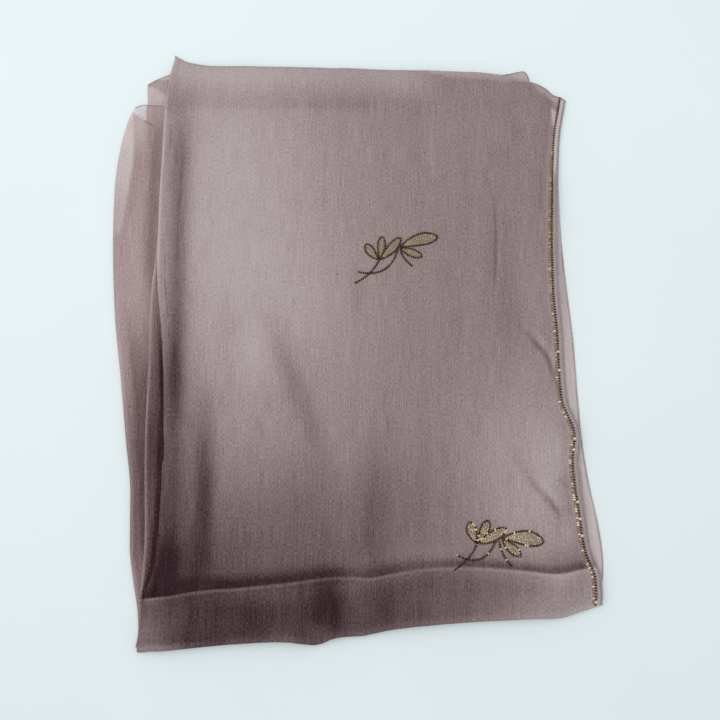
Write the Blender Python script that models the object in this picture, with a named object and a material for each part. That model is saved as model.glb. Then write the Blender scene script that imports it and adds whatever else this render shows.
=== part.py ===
"""A chiffon scarf, folded in half across its width and in four along its length, laid flat.

Metres, +Z up, +Y towards the scarf's upper fold, +X towards its beaded edge. The origin is under the
middle of the folded scarf, on the surface that it lies on. The tables below are in millimetres.

The cloth lies in stretches, one over the other. Each stretch is a wall whose underside follows what it
lies on, so the heights of the pile are kept in one height map that grows from the surface upwards.
"""

import math

import bmesh
import bpy
import numpy as np
from mathutils import Vector

MM = 0.001

# Driving sizes, in millimetres.
GAP = 0.35  # clearance between stretches that lie on each other
SIDE_GAP = 1.8  # clearance beside the hidden layers
TOP_WALL = 1.4  # the stretch that lies uppermost
UNDER_WALL = 1.5  # the single stretches below it
FOLD_WALL = 2.4  # the doubled cloth at the left, pressed flat
LOWER_TIER = 4.2  # height of the hidden layers at their edges
UPPER_TIER = 6.4  # and over most of the scarf
BAND_RISE = 3.4  # how much higher they are in the band along the lower fold
BAND_CREST = 1.3  # and how far the band's upper edge stands above that
TIER_INSET = 8.0  # the upper tier stands this far inside the lower one
CORE_LEFT_INSET = 10.0  # hidden layers stay this far inside the left fold
CORE_LOWER_INSET = 2.6
CORE_UPPER_INSET = 7.0
CORE_RIGHT_INSET = 12.0
CHORDS = (-18.0, -9.0, 0.0, 9.0, 18.0)  # the edges are read at these distances too, as the solid is coarse
ROLL_HEIGHT = 5.4  # the narrow roll beside the left fold
CREST_HEIGHT = 2.4  # the raised line along the left fold, above the roll
BEAD_TRIM_WIDTH = 4.6
BEAD_TRIM_HEIGHT = 1.1
HEM_MARGIN = 5.6  # cloth from the middle of the bead trim to the hem's edge

# How the uppermost stretch turns down over the lower fold.
# Columns: distance in from the fold, share of the height.
CURL_REACH = 3.0
CURL_FOOT = 0.7
CURL_OUTER = ((0.5, 0.0), (0.0, 0.3), (0.2, 0.68), (1.2, 0.92))
CURL_INNER = ((1.5, 0.0), (1.4, 0.3), (1.5, 0.7), (2.1, 0.92))

# The side of the hidden layers, two folds one over the other. Columns: share of the height, how far out.
FOLDED_SIDE = (
    (0.94, 0.5), (0.76, 1.1), (0.56, 0.9), (0.5, -0.2), (0.44, 0.9), (0.24, 1.2), (0.08, 0.6), (0.0, -0.4),
)

# Edges of the stretches that show. Columns: y, x.
LEFT_FOLD = (
    (262, -160), (231, -165), (175, -167), (124, -169), (92, -169), (43, -167), (8, -163),
    (-53, -159), (-120, -158.5), (-165, -160), (-195, -163.5), (-217, -170), (-240, -171.5), (-262, -175),
)
BEAD_LINE = (
    (222, 188), (198, 183.5), (167, 179.5), (129, 176.5), (86, 174.5), (42, 174.5), (7, 176), (-43, 178),
    (-56, 180), (-70, 186), (-82, 188.5), (-94, 187.5), (-106, 185.5), (-123, 186), (-146, 189.5),
    (-172, 192.5), (-190, 197.5), (-213, 200.5), (-232, 199),
)
ROLL_EDGE = ((97, -170), (74, -171), (43, -173), (-27, -173.5), (-70, -174), (-103, -173.5), (-137, -172),
             (-170, -171), (-194, -172), (-217, -174))
OUTER_LEFT = (
    (213, -194.5), (209, -196.5), (181, -205), (162, -208), (134, -210), (98, -209.7), (52, -207.5),
    (17, -204.5), (-34, -197.5), (-88, -190.7), (-122, -186), (-162, -184.5), (-182, -183.5),
    (-200, -180.7), (-232, -175), (-245, -174.5), (-259, -177),
)
OUTER_RIGHT = (
    (152, 183.5), (120, 183.5), (88, 184), (45, 187.5), (0, 192), (-47, 195), (-95, 198), (-129, 202),
    (-159, 207.5), (-174, 209.4), (-190, 210), (-206, 208.5), (-222, 204),
)
# Columns: x, y.
UPPER_EDGE = (
    (-170, 262), (-160, 259.3), (-152, 255.4), (-137, 251.3), (-92, 249), (-46, 248.4), (-1, 247.3),
    (46, 245.8), (84, 244.8), (133, 241.8), (147, 239.5), (160, 235), (168, 232), (175, 226),
    (181, 221.8), (188, 219.6), (194, 216.5),
)
LOWER_EDGE = (
    (-177, -259.4), (-151, -257.8), (-131, -255.8), (-98, -252.7), (-50, -251), (-38, -252.6),
    (-30, -253.6), (-23, -252.3), (-16, -249), (12, -245.2), (32, -241), (81, -236.5), (147, -232.8),
    (176, -231.5), (188, -227.8), (206, -222.5),
)
BAND_LINE = (
    (-180, -218), (-156, -214.5), (-123, -209), (-90, -206.6), (-58, -203.4), (-5, -197.8), (16, -198.4),
    (32, -195.8), (57, -191.8), (82, -190.2), (114, -191), (147, -193.8), (169, -195.8), (184, -193.4),
    (206, -191),
)
# Corners of cloth that stick out above the uppermost stretch. Columns: x, y.
LEFT_CORNER_TOP = ((-184.5, 233.5), (-180, 236.3), (-173, 240), (-166, 243), (-150, 246))
BACK_TOP = ((60, 243), (84, 246), (133, 243.4), (143, 244.4), (148, 246), (153, 245), (156, 238), (160, 231))

# Soft troughs and ridges pressed into the uppermost stretch. Columns: from x, y to x, y, half width, height.
SOFT_FOLDS = (
    (-150, 235, -150, -60, 9, -1.5),
    (-150, -60, -148, -205, 12, -2.0),
    (-124, 190, -122, -120, 20, 1.1),
    (-84, 60, -52, -85, 13, -1.3),
    (-60, 70, -20, -60, 17, 0.9),
    (-128, -55, -128, -190, 10, -1.1),
    (-3, 110, 4, -120, 15, -0.9),
    (35, 60, 38, -140, 19, 0.8),
    (60, 230, 66, 120, 16, -0.7),
    (132, 140, 136, 20, 11, -1.1),
    (154, 200, 152, 60, 9, 0.8),
    (138, 10, 170, -52, 6, 1.5),
    (150, 0, 180, -62, 5, -1.2),
    (146, -118, 166, -142, 4, -1.0),
    (90, -20, 96, -150, 22, 0.8),
    (40, -212, 33, -236, 11, -1.4),
    (-62, -220, -58, -244, 10, -0.9),
    (130, -206, 150, -222, 12, 0.8),
)


def smooth_curve(table):
    """A function through the table's two columns, cubic between rows and flat past the ends."""
    rows = sorted(table)
    at = np.array([row[0] for row in rows], float)
    value = np.array([row[1] for row in rows], float)
    step = np.diff(at)
    slope = np.diff(value) / step
    inner = (slope[:-1] * step[1:] + slope[1:] * step[:-1]) / (step[:-1] + step[1:])
    inner = np.where(slope[:-1] * slope[1:] > 0, inner, 0.35 * inner)
    tangent = np.concatenate([slope[:1], inner, slope[-1:]])

    def curve(where):
        where = np.clip(np.asarray(where, float), at[0], at[-1])
        k = np.clip(np.searchsorted(at, where) - 1, 0, len(step) - 1)
        t = (where - at[k]) / step[k]
        h = step[k]
        return (
            value[k] * (1 + 2 * t) * (1 - t) ** 2
            + value[k + 1] * t * t * (3 - 2 * t)
            + tangent[k] * h * t * (1 - t) ** 2
            + tangent[k + 1] * h * t * t * (t - 1)
        )

    return curve


left_fold = smooth_curve(LEFT_FOLD)
bead_line = smooth_curve(BEAD_LINE)
roll_edge = smooth_curve(ROLL_EDGE)
outer_left = smooth_curve(OUTER_LEFT)
outer_right = smooth_curve(OUTER_RIGHT)
upper_edge = smooth_curve(UPPER_EDGE)
lower_edge = smooth_curve(LOWER_EDGE)
band_line = smooth_curve(BAND_LINE)
left_corner_top = smooth_curve(LEFT_CORNER_TOP)
back_top = smooth_curve(BACK_TOP)


def hem_edge(y):
    return bead_line(y) + HEM_MARGIN


def ease(value, low, high):
    """0 below low, 1 above high, and smooth between."""
    t = np.clip((np.asarray(value, float) - low) / (high - low), 0, 1)
    return t * t * (3 - 2 * t)


# The height map of the pile, one cell a millimetre.
X_AXIS = np.arange(-226.0, 227.0)
Y_AXIS = np.arange(-276.0, 277.0)
X_MAP, Y_MAP = np.meshgrid(X_AXIS, Y_AXIS)
TABLE = np.full(X_MAP.shape, -GAP)
CELL_STEPS = np.linspace(0, 1, 13)


def disk(radius):
    reach = range(-radius, radius + 1)
    return [(i, j) for i in reach for j in reach if i * i + j * j <= radius * radius]


def shifted(field, i, j):
    return np.roll(np.roll(field, i, axis=0), j, axis=1)


def draped(field, radius):
    """The height of cloth laid over field: its high points spread out, then smoothed over as far."""
    spread = np.max([shifted(field, i, j) for i, j in disk(radius)], axis=0)
    return np.mean([shifted(spread, i, j) for i, j in disk(radius)], axis=0)


def read_map(field, x, y):
    """field between its cells, at the points x, y."""
    column = np.clip(np.asarray(x, float) - X_AXIS[0], 0, len(X_AXIS) - 1.001)
    row = np.clip(np.asarray(y, float) - Y_AXIS[0], 0, len(Y_AXIS) - 1.001)
    c, r = column.astype(int), row.astype(int)
    a, b = column - c, row - r
    return (
        field[r, c] * (1 - a) * (1 - b)
        + field[r, c + 1] * a * (1 - b)
        + field[r + 1, c] * (1 - a) * b
        + field[r + 1, c + 1] * a * b
    )


def across_cells(grid, a, b):
    """Where the point a, b of each cell of a grid lies, and its height with either diagonal of the cell."""
    p, q, r, s = grid[:-1, :-1], grid[:-1, 1:], grid[1:, :-1], grid[1:, 1:]
    place = p * (1 - a) * (1 - b) + q * a * (1 - b) + r * (1 - a) * b + s * a * b
    if a >= b:
        one = p + a * (q - p) + b * (s - q)
    else:
        one = p + b * (r - p) + a * (s - r)
    if a + b <= 1:
        other = p + a * (q - p) + b * (r - p)
    else:
        other = s + (1 - a) * (r - s) + (1 - b) * (q - s)
    return place[..., 0], place[..., 1], one[..., 2], other[..., 2]


def lay_on(field, grid):
    """field raised to the faces of a grid of points (rows, columns, xyz in millimetres)."""
    laid = field.copy()
    for a in CELL_STEPS:
        for b in CELL_STEPS:
            x, y, one, other = across_cells(grid, a, b)
            c = np.clip(np.rint(x - X_AXIS[0]).astype(int), 0, len(X_AXIS) - 1)
            r = np.clip(np.rint(y - Y_AXIS[0]).astype(int), 0, len(Y_AXIS) - 1)
            np.maximum.at(laid, (r, c), np.maximum(one, other))
    return laid


def lifted(grid, field):
    """grid raised where its faces would come nearer than GAP to what lies beneath, whose map is field."""
    beneath = np.max([shifted(field, i, j) for i, j in disk(1)], axis=0)
    grid = grid.copy()
    for _ in range(6):
        short = np.zeros(grid.shape[:2])
        for a in CELL_STEPS:
            for b in CELL_STEPS:
                x, y, one, other = across_cells(grid, a, b)
                need = read_map(beneath, x, y) + GAP - np.minimum(one, other)
                for part in (short[:-1, :-1], short[:-1, 1:], short[1:, :-1], short[1:, 1:]):
                    np.maximum(part, need, out=part)
        grid[..., 2] += short
        if short.max() < 0.02:
            break
    return grid


def fabric(name, colour, roughness, metallic=0.0):
    material = bpy.data.materials.new(name)
    material.use_nodes = True
    shader = material.node_tree.nodes["Principled BSDF"]
    shader.inputs["Base Color"].default_value = (*colour, 1)
    shader.inputs["Roughness"].default_value = roughness
    shader.inputs["Metallic"].default_value = metallic
    return material


def closed_wall(name, top, bottom, material):
    """One closed solid between two grids of points with the same rows and columns, in millimetres."""
    rows, columns = top.shape[:2]
    mesh = bmesh.new()
    upper = [[mesh.verts.new(Vector(p) * MM) for p in row] for row in top]
    lower = [[mesh.verts.new(Vector(p) * MM) for p in row] for row in bottom]
    for r in range(rows - 1):
        for c in range(columns - 1):
            mesh.faces.new((upper[r][c], upper[r][c + 1], upper[r + 1][c + 1], upper[r + 1][c]))
            mesh.faces.new((lower[r][c], lower[r + 1][c], lower[r + 1][c + 1], lower[r][c + 1]))
    for c in range(columns - 1):
        mesh.faces.new((lower[0][c], lower[0][c + 1], upper[0][c + 1], upper[0][c]))
        mesh.faces.new((upper[-1][c], upper[-1][c + 1], lower[-1][c + 1], lower[-1][c]))
    for r in range(rows - 1):
        mesh.faces.new((upper[r][0], upper[r + 1][0], lower[r + 1][0], lower[r][0]))
        mesh.faces.new((lower[r][-1], lower[r + 1][-1], upper[r + 1][-1], upper[r][-1]))
    bmesh.ops.recalc_face_normals(mesh, faces=mesh.faces)
    return finished(name, mesh, material)


def finished(name, mesh, material):
    data = bpy.data.meshes.new(name)
    mesh.to_mesh(data)
    mesh.free()
    data.materials.append(material)
    data.shade_smooth()
    data.set_sharp_from_angle(angle=math.radians(50))
    made = bpy.data.objects.new(name, data)
    bpy.context.scene.collection.objects.link(made)
    return made


def edge_grid(left, right, lows, highs, rows, columns):
    """Plan points between the curves left(y) and right(y). Each of rows is a share of the way from lows(x)
    to highs(x) with an offset in millimetres, and columns are (share of the width, offset) too."""
    shape = (len(rows), len(columns))
    share_v = np.array([r[0] for r in rows])[:, None] * np.ones(shape)
    add_v = np.array([r[1] for r in rows])[:, None] * np.ones(shape)
    share_u = np.array([c[0] for c in columns])[None, :] * np.ones(shape)
    add_u = np.array([c[1] for c in columns])[None, :] * np.ones(shape)
    x, y = np.zeros(shape), np.zeros(shape)
    for _ in range(12):
        y = lows(x) * (1 - share_v) + highs(x) * share_v + add_v
        x = left(y) * (1 - share_u) + right(y) * share_u + add_u
    return x, y


def from_ends(low_offsets, high_offsets, between):
    """Rows or columns as (share, offset): offsets in from both ends and even shares between them."""
    low = [(0.0, d) for d in low_offsets]
    high = [(1.0, -d) for d in reversed(high_offsets)]
    shares = np.linspace(0, 1, between + 2)[1:-1]
    a, b = low_offsets[-1], -high_offsets[-1]
    middle = [(s, a * (1 - s) + b * s) for s in shares]
    return [*low, *middle, *high]


def points(x, y, z):
    return np.stack([x, y, z], axis=-1)


def soft_relief(x, y):
    """The soft folds of the uppermost stretch, never below 0, so that it stays on what it covers."""
    total = np.full(np.shape(x), 2.0)
    for x0, y0, x1, y1, half_width, height in SOFT_FOLDS:
        along = np.array([x1 - x0, y1 - y0], float)
        length = np.hypot(*along)
        along /= length
        t = (x - x0) * along[0] + (y - y0) * along[1]
        side = -(x - x0) * along[1] + (y - y0) * along[0]
        run_in = half_width * 2
        ends = ease(t, -run_in, run_in) * (1 - ease(t, length - run_in, length + run_in))
        total = total + height * ends * np.exp(-((side / half_width) ** 2))
    edge = np.minimum(hem_edge(y) - x, np.minimum(upper_edge(x) - y, y - lower_edge(x)))
    return np.maximum(total, 0) * ease(edge, 0, 22) * ease(x - left_fold(y), 4, 24)


def hidden_layers(material):
    """The layers that no one sees, as one rounded solid: two tiers, with the rounded edges of two folds."""
    def left(y):
        return np.max([left_fold(y + d) for d in CHORDS], axis=0) + CORE_LEFT_INSET

    def right(y):
        return np.min([hem_edge(y + d) for d in CHORDS], axis=0) - CORE_RIGHT_INSET

    def low(x):
        return np.max([lower_edge(x + d) for d in CHORDS], axis=0) + CORE_LOWER_INSET

    def high(x):
        return np.min([upper_edge(x + d) for d in CHORDS], axis=0) - CORE_UPPER_INSET

    def band_foot(x):
        return band_line(x) - 1.0

    columns = from_ends((0, TIER_INSET * 0.5, TIER_INSET), (0, 3, 7), 14)
    band_rows = from_ends((0, 3.5, TIER_INSET), (3, 5, 9), 1)
    field_rows = from_ends((0, 5), (0, 4.5, TIER_INSET), 17)
    x0, y0 = edge_grid(left, right, low, band_foot, band_rows, columns)
    x1, y1 = edge_grid(left, right, band_foot, high, field_rows, columns)
    x, y = np.concatenate([x0, x1]), np.concatenate([y0, y1])
    low_rise = ease(y - low(x), -3, TIER_INSET)
    high_rise = ease(high(x) - y, 2.0, TIER_INSET)
    tier = LOWER_TIER + (UPPER_TIER - LOWER_TIER) * np.minimum(low_rise, high_rise)
    tier -= 1.6 * (1 - ease(x - left(y), 0, TIER_INSET)) + 1.6 * (1 - ease(right(y) - x, 0, 7))
    above = y - band_foot(x)
    crest = BAND_CREST * np.exp(-(((above + 5) / 5.5) ** 2))
    band = (BAND_RISE * low_rise + crest) * (1 - ease(above, -4.5, 0))
    top = points(x, y, tier + band * (0.65 + 0.35 * ease(x - left(y), 0, 30)))

    # The side between the top and the flat underside is a ring for each row of FOLDED_SIDE.
    n_rows, n_columns = x.shape
    rim = [(0, c) for c in range(n_columns)] + [(r, n_columns - 1) for r in range(1, n_rows)]
    rim += [(n_rows - 1, c) for c in range(n_columns - 2, -1, -1)]
    rim += [(r, 0) for r in range(n_rows - 2, 0, -1)]
    mesh = bmesh.new()
    verts = [[mesh.verts.new(Vector(p) * MM) for p in row] for row in top]
    for r in range(n_rows - 1):
        for c in range(n_columns - 1):
            mesh.faces.new((verts[r][c], verts[r][c + 1], verts[r + 1][c + 1], verts[r + 1][c]))
    edge = np.array([top[r, c] for r, c in rim])
    ahead, behind = np.roll(edge, -1, axis=0), np.roll(edge, 1, axis=0)
    run = ahead[:, :2] - behind[:, :2]
    run /= np.linalg.norm(run, axis=1)[:, None]
    outward = np.stack([run[:, 1], -run[:, 0]], axis=-1)
    ring = [verts[r][c] for r, c in rim]
    for share, out in FOLDED_SIDE:
        wander = 0.35 * np.sin(edge[:, 0] / 23 + 9 * share) + 0.35 * np.cos(edge[:, 1] / 31 + 7 * share)
        flat = edge[:, :2] + outward * (out - 1.5 + wander)[:, None]
        lower = [mesh.verts.new(Vector((*p, z * share)) * MM) for p, z in zip(flat, edge[:, 2])]
        for k in range(len(rim)):
            n = (k + 1) % len(rim)
            mesh.faces.new((ring[k], lower[k], lower[n], ring[n]))
        ring = lower
    mesh.faces.new(ring)
    bmesh.ops.recalc_face_normals(mesh, faces=mesh.faces)
    finished("hidden_layers", mesh, material)
    return top


def rounded(thickness, distance, reach):
    """How thick a folded edge is at a distance in from its end."""
    t = np.clip(distance / reach, 0, 1)
    return thickness * (0.34 + 0.66 * np.sqrt(1 - (1 - t) ** 2))


def left_corner_stretch(material):
    """The short corner of cloth above the doubled cloth at the left."""
    def left(y):
        return 0 * y - 184.4

    def right(y):
        return left_fold(y) + CORE_LEFT_INSET - SIDE_GAP

    def low(x):
        return 0 * x + 172

    columns = from_ends((0, 0.8, 2.5), (0,), 3)
    rows = from_ends((0,), (0, 0.8, 2.5), 5)
    x, y = edge_grid(left, right, low, left_corner_top, rows, columns)
    edge = np.minimum(x - left(y), left_corner_top(x) - y)
    bottom = points(x, y, 0 * x)
    top = points(x, y, rounded(UNDER_WALL, edge, 2.5))
    closed_wall("left_corner_stretch", top, bottom, material)
    return top


def left_outer_stretch(material, under):
    """The doubled cloth that sticks out at the left, its fold at the outside and its hem at the top."""
    drape = draped(under, 3)

    def right(y):
        return left_fold(y) + CORE_LEFT_INSET - SIDE_GAP

    def low(x):
        return 0 * x - 255.5

    def high(x):
        return 213.2 - 2.2 * ease(-x, 188, 197)

    columns = from_ends((0, 0.9, 2.6, 5.5), (0,), 5)
    rows = from_ends((0, 1.2), (0, 0.8, 2.5), 32)
    x, y = edge_grid(outer_left, right, low, high, rows, columns)
    edge = np.minimum(x - outer_left(y), high(x) - y)
    floor = np.maximum(read_map(drape, x, y) + GAP, 0)
    crown = 1.7 * np.exp(-(((x - outer_left(y) - 5) / 4.5) ** 2)) * ease(-y, -60, 90)
    wave = 0.5 * (1 + np.sin(y / 26.0 + x / 14.0)) * ease(edge, 1, 8)
    bottom = lifted(points(x, y, floor), under)
    rise = rounded(FOLD_WALL, edge, 2.6) + crown * ease(edge, 0, 4) + wave
    top = points(x, y, bottom[..., 2] + rise)
    closed_wall("left_outer_stretch", top, bottom, material)
    return top


def left_roll_stretch(material, under):
    """The narrow roll of cloth that comes out from under the left fold and runs down to the band."""
    drape = draped(under, 2)

    def right(y):
        return left_fold(y) + 2.5

    def low(x):
        return 0 * x - 216.5

    def high(x):
        return 0 * x + 96

    columns = [(s, 0.0) for s in (0, 0.05, 0.15, 0.3, 0.45, 0.62, 0.8, 0.93, 1)]
    rows = from_ends((0, 2.5, 7), (0, 3, 9), 20)
    x, y = edge_grid(roll_edge, right, low, high, rows, columns)
    share = (x - roll_edge(y)) / (right(y) - roll_edge(y))
    hump = np.sin(np.pi * np.clip(share, 0, 1) ** 0.62) ** 0.75
    taper = ease(96 - y, -2, 70) * (0.45 + 0.55 * ease(y + 216.5, -2, 45))
    floor = read_map(drape, x, y) + GAP
    bottom = lifted(points(x, y, floor), under)
    rise = 0.6 + ROLL_HEIGHT * taper * hump * (0.94 + 0.06 * np.sin(y / 17.0))
    top = points(x, y, bottom[..., 2] + rise)
    closed_wall("left_roll_stretch", top, bottom, material)
    return top


def right_stretch(name, edge_curve, y_low, y_high, material, under):
    """Cloth that shows beyond the beaded edge, tucked in under it."""
    drape = draped(under, 2)

    def left(y):
        return hem_edge(y) - CORE_RIGHT_INSET + SIDE_GAP

    def low(x):
        return 0 * x + y_low

    def high(x):
        return 0 * x + y_high

    columns = from_ends((0,), (0, 0.6, 1.8), 4)
    rows = from_ends((0, 1.5), (0, 1.5), 26)
    x, y = edge_grid(left, edge_curve, low, high, rows, columns)
    edge = np.minimum(np.minimum(edge_curve(y) - x, y_high - y), y - y_low)
    floor = np.maximum(read_map(drape, x, y) + GAP, 0)
    bottom = lifted(points(x, y, floor), under)
    top = points(x, y, bottom[..., 2] + rounded(UNDER_WALL, edge, 1.8))
    closed_wall(name, top, bottom, material)
    return top


def back_top_stretch(material):
    """The corner of the next fold, which shows above the upper edge towards the right."""
    def left(y):
        return 0 * y + 62

    def right(y):
        return 0 * y + 157.5

    def low(x):
        return upper_edge(x) - CORE_UPPER_INSET + 1.4

    columns = from_ends((0, 2), (0, 1, 3), 12)
    rows = [(0.0, 0.0), (0.35, 0.0), (0.75, 0.0), (1.0, 0.0)]
    x, y = edge_grid(left, right, low, lambda x: np.maximum(back_top(x), low(x) + 2.0), rows, columns)
    bottom = points(x, y, 0 * x + 0.0)
    depth = np.linspace(1, 0.45, len(rows))[:, None]
    top = points(x, y, 0 * x + UNDER_WALL * 1.3 * depth)
    closed_wall("back_top_stretch", top, bottom, material)
    return top


def top_stretch(material, pile):
    """The stretch that lies uppermost, from the left fold to the beaded hem, curled down over the lower one."""
    tight, loose = draped(pile, 2), draped(pile, 5)
    columns = from_ends((0, 0.8, 2.2, 4.5, 8, 13), (0, 0.9, 3, 6.5, 11.5), 25)
    lower_rows = from_ends((CURL_REACH, 5.5, 10), (0, 3, 6.5), 2)
    upper_rows = from_ends((2.2, 4.4, 8, 13), (0, 0.9, 3, 6, 10), 20)
    x0, y0 = edge_grid(left_fold, hem_edge, lower_edge, band_line, lower_rows, columns)
    x1, y1 = edge_grid(left_fold, hem_edge, band_line, upper_edge, upper_rows, columns)
    x, y = np.concatenate([x0, x1]), np.concatenate([y0, y1])
    inside = ease(x - left_fold(y), 7, 22) * ease(y - band_line(x), 8, 24)
    floor = read_map(tight, x, y) * (1 - inside) + read_map(loose, x, y) * inside + GAP
    crest_place = (x - left_fold(y) - 2.6) / 3.4
    crest = CREST_HEIGHT * np.exp(-(crest_place**2)) * ease(y, -10, 90) * ease(upper_edge(x) - y, 0, 14)
    bottom = lifted(points(x, y, floor + soft_relief(x, y) + crest), pile)
    edge = np.minimum(x - left_fold(y), np.minimum(hem_edge(y) - x, upper_edge(x) - y))
    top = points(x, y, bottom[..., 2] + rounded(TOP_WALL, edge, 2.2))

    # Around the lower fold, the wall turns down in front of the hidden layers.
    bottom[0, :, 2] += 0.3
    top[0, :, 2] += 0.2
    x, inner, outer = top[0, :, 0], bottom[0, :, 2], top[0, :, 2]
    foot = CURL_FOOT + 0 * x
    y = lower_edge(x)
    inner_rows = [points(x, y + dy, foot + (inner - foot) * share) for dy, share in CURL_INNER]
    outer_rows = [points(x, y + dy, foot + (outer - foot) * share) for dy, share in CURL_OUTER]
    bottom = np.concatenate([inner_rows, bottom])
    top = np.concatenate([outer_rows, top])
    closed_wall("top_stretch", top, bottom, material)
    return top


def bead_trim(material, pile):
    """The line of beads along the hem, as one low strip that keeps just off the cloth."""
    at = np.linspace(-222.0, 216, 88)
    across = np.array([-0.5, -0.3, 0.0, 0.3, 0.5]) * BEAD_TRIM_WIDTH
    height = np.array([0.45, 0.9, 1.0, 0.9, 0.45]) * BEAD_TRIM_HEIGHT
    x = bead_line(at)[:, None] + across[None, :]
    y = at[:, None] + 0 * x
    bottom = lifted(points(x, y, read_map(draped(pile, 3), x, y) + GAP), pile)
    top = points(x, y, bottom[..., 2] + height[None, :])
    closed_wall("bead_trim", top, bottom, material)


def main():
    for old in list(bpy.data.objects):
        bpy.data.objects.remove(old, do_unlink=True)
    chiffon = fabric("chiffon", (0.36, 0.26, 0.25), 0.8)
    hidden = fabric("chiffon_hidden", (0.30, 0.21, 0.21), 0.85)
    gold = fabric("gold_beads", (0.42, 0.28, 0.12), 0.35, 0.8)

    core = hidden_layers(hidden)
    corner = left_corner_stretch(chiffon)
    left_pile = lay_on(TABLE, corner)
    outer = left_outer_stretch(chiffon, left_pile)
    left_pile = lay_on(left_pile, outer)
    roll = left_roll_stretch(chiffon, left_pile)
    right_outer = right_stretch("right_outer_stretch", outer_right, -218.5, 151, chiffon, TABLE)
    right_pile = lay_on(TABLE, right_outer)

    def inner_edge(y):
        return hem_edge(y) + (outer_right(y) - hem_edge(y)) * (0.25 + 0.3 * ease(-y, 40, 150))

    right_inner = right_stretch("right_inner_stretch", inner_edge, -215, 128, chiffon, right_pile)
    back = back_top_stretch(chiffon)
    pile = TABLE
    for laid in (core, corner, outer, roll, right_outer, right_inner, back):
        pile = lay_on(pile, laid)
    cloth = top_stretch(chiffon, pile)
    bead_trim(gold, lay_on(pile, cloth))


main()
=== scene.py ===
import math

import bpy
import numpy as np
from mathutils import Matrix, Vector
from mathutils.bvhtree import BVHTree


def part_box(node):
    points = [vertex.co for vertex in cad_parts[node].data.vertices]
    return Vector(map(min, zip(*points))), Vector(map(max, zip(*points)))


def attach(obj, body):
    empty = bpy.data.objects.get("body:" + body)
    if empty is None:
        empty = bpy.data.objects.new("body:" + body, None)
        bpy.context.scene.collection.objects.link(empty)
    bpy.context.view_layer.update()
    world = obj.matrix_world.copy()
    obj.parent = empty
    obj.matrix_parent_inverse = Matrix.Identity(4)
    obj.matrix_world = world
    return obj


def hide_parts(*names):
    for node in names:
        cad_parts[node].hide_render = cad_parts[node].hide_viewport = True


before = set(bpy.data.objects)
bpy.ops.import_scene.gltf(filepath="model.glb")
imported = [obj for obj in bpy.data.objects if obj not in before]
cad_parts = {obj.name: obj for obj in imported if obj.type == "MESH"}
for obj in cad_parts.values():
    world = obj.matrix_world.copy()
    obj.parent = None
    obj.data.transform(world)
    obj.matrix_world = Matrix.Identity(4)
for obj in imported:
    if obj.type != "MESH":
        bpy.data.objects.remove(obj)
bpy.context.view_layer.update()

mm = 0.001
print("frame loaded")


def curveThrough(rows):  # a function through a table's two columns, level past its ends
    rows = sorted(rows)
    at = np.array([row[0] for row in rows], float)
    value = np.array([row[1] for row in rows], float)
    step = np.diff(at)
    slope = np.diff(value) / step
    inner = (slope[:-1] * step[1:] + slope[1:] * step[:-1]) / (step[:-1] + step[1:])
    inner = np.where(slope[:-1] * slope[1:] > 0, inner, 0.35 * inner)
    tangent = np.concatenate([slope[:1], inner, slope[-1:]])

    def curve(where):
        where = np.clip(np.asarray(where, float), at[0], at[-1])
        k = np.clip(np.searchsorted(at, where) - 1, 0, len(step) - 1)
        t = (where - at[k]) / step[k]
        h = step[k]
        return (
            value[k] * (1 + 2 * t) * (1 - t) ** 2
            + value[k + 1] * t * t * (3 - 2 * t)
            + tangent[k] * h * t * (1 - t) ** 2
            + tangent[k + 1] * h * t * t * (t - 1)
        )

    return curve


# Edges of the stretches that show, in millimetres. Columns: y, x.
leftFold = curveThrough((
    (262, -160), (231, -165), (175, -167), (124, -169), (92, -169), (43, -167), (8, -163),
    (-53, -159), (-120, -158.5), (-165, -160), (-195, -163.5), (-217, -170), (-240, -171.5), (-262, -175),
))
beadLine = curveThrough((
    (223, 188.3), (190, 181.6), (157, 178.2), (129, 176.6), (86, 174.8), (44, 174.6), (7, 176.6), (-43, 178),
    (-56, 179.3), (-66, 183.2), (-76, 187.6), (-84, 188.4), (-94, 187.2), (-106, 185.9), (-124, 187.1),
    (-148, 190), (-170, 192.3), (-181, 194.6), (-190, 198.2), (-196, 200.4), (-207, 201.4), (-217, 201.3),
    (-232, 200),
))
rollEdge = curveThrough((
    (97, -170), (74, -171), (43, -173), (-27, -173.5), (-70, -174), (-103, -173.5), (-137, -172),
    (-170, -171), (-194, -172), (-217, -174),
))
outerLeft = curveThrough((
    (213, -194.5), (209, -196.5), (181, -205), (162, -208), (134, -210), (98, -209.7), (52, -207.5),
    (17, -204.5), (-34, -197.5), (-88, -190.7), (-122, -186), (-162, -184.5), (-182, -183.5),
    (-200, -180.7), (-232, -175), (-245, -174.5), (-259, -177),
))
outerRight = curveThrough((
    (152, 183.8), (120, 184.2), (88, 185), (45, 188.1), (0, 192), (-47, 194), (-95, 197.2), (-129, 201.8),
    (-159, 207.5), (-174, 209.4), (-190, 210), (-206, 208.5), (-222, 204),
))
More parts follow.
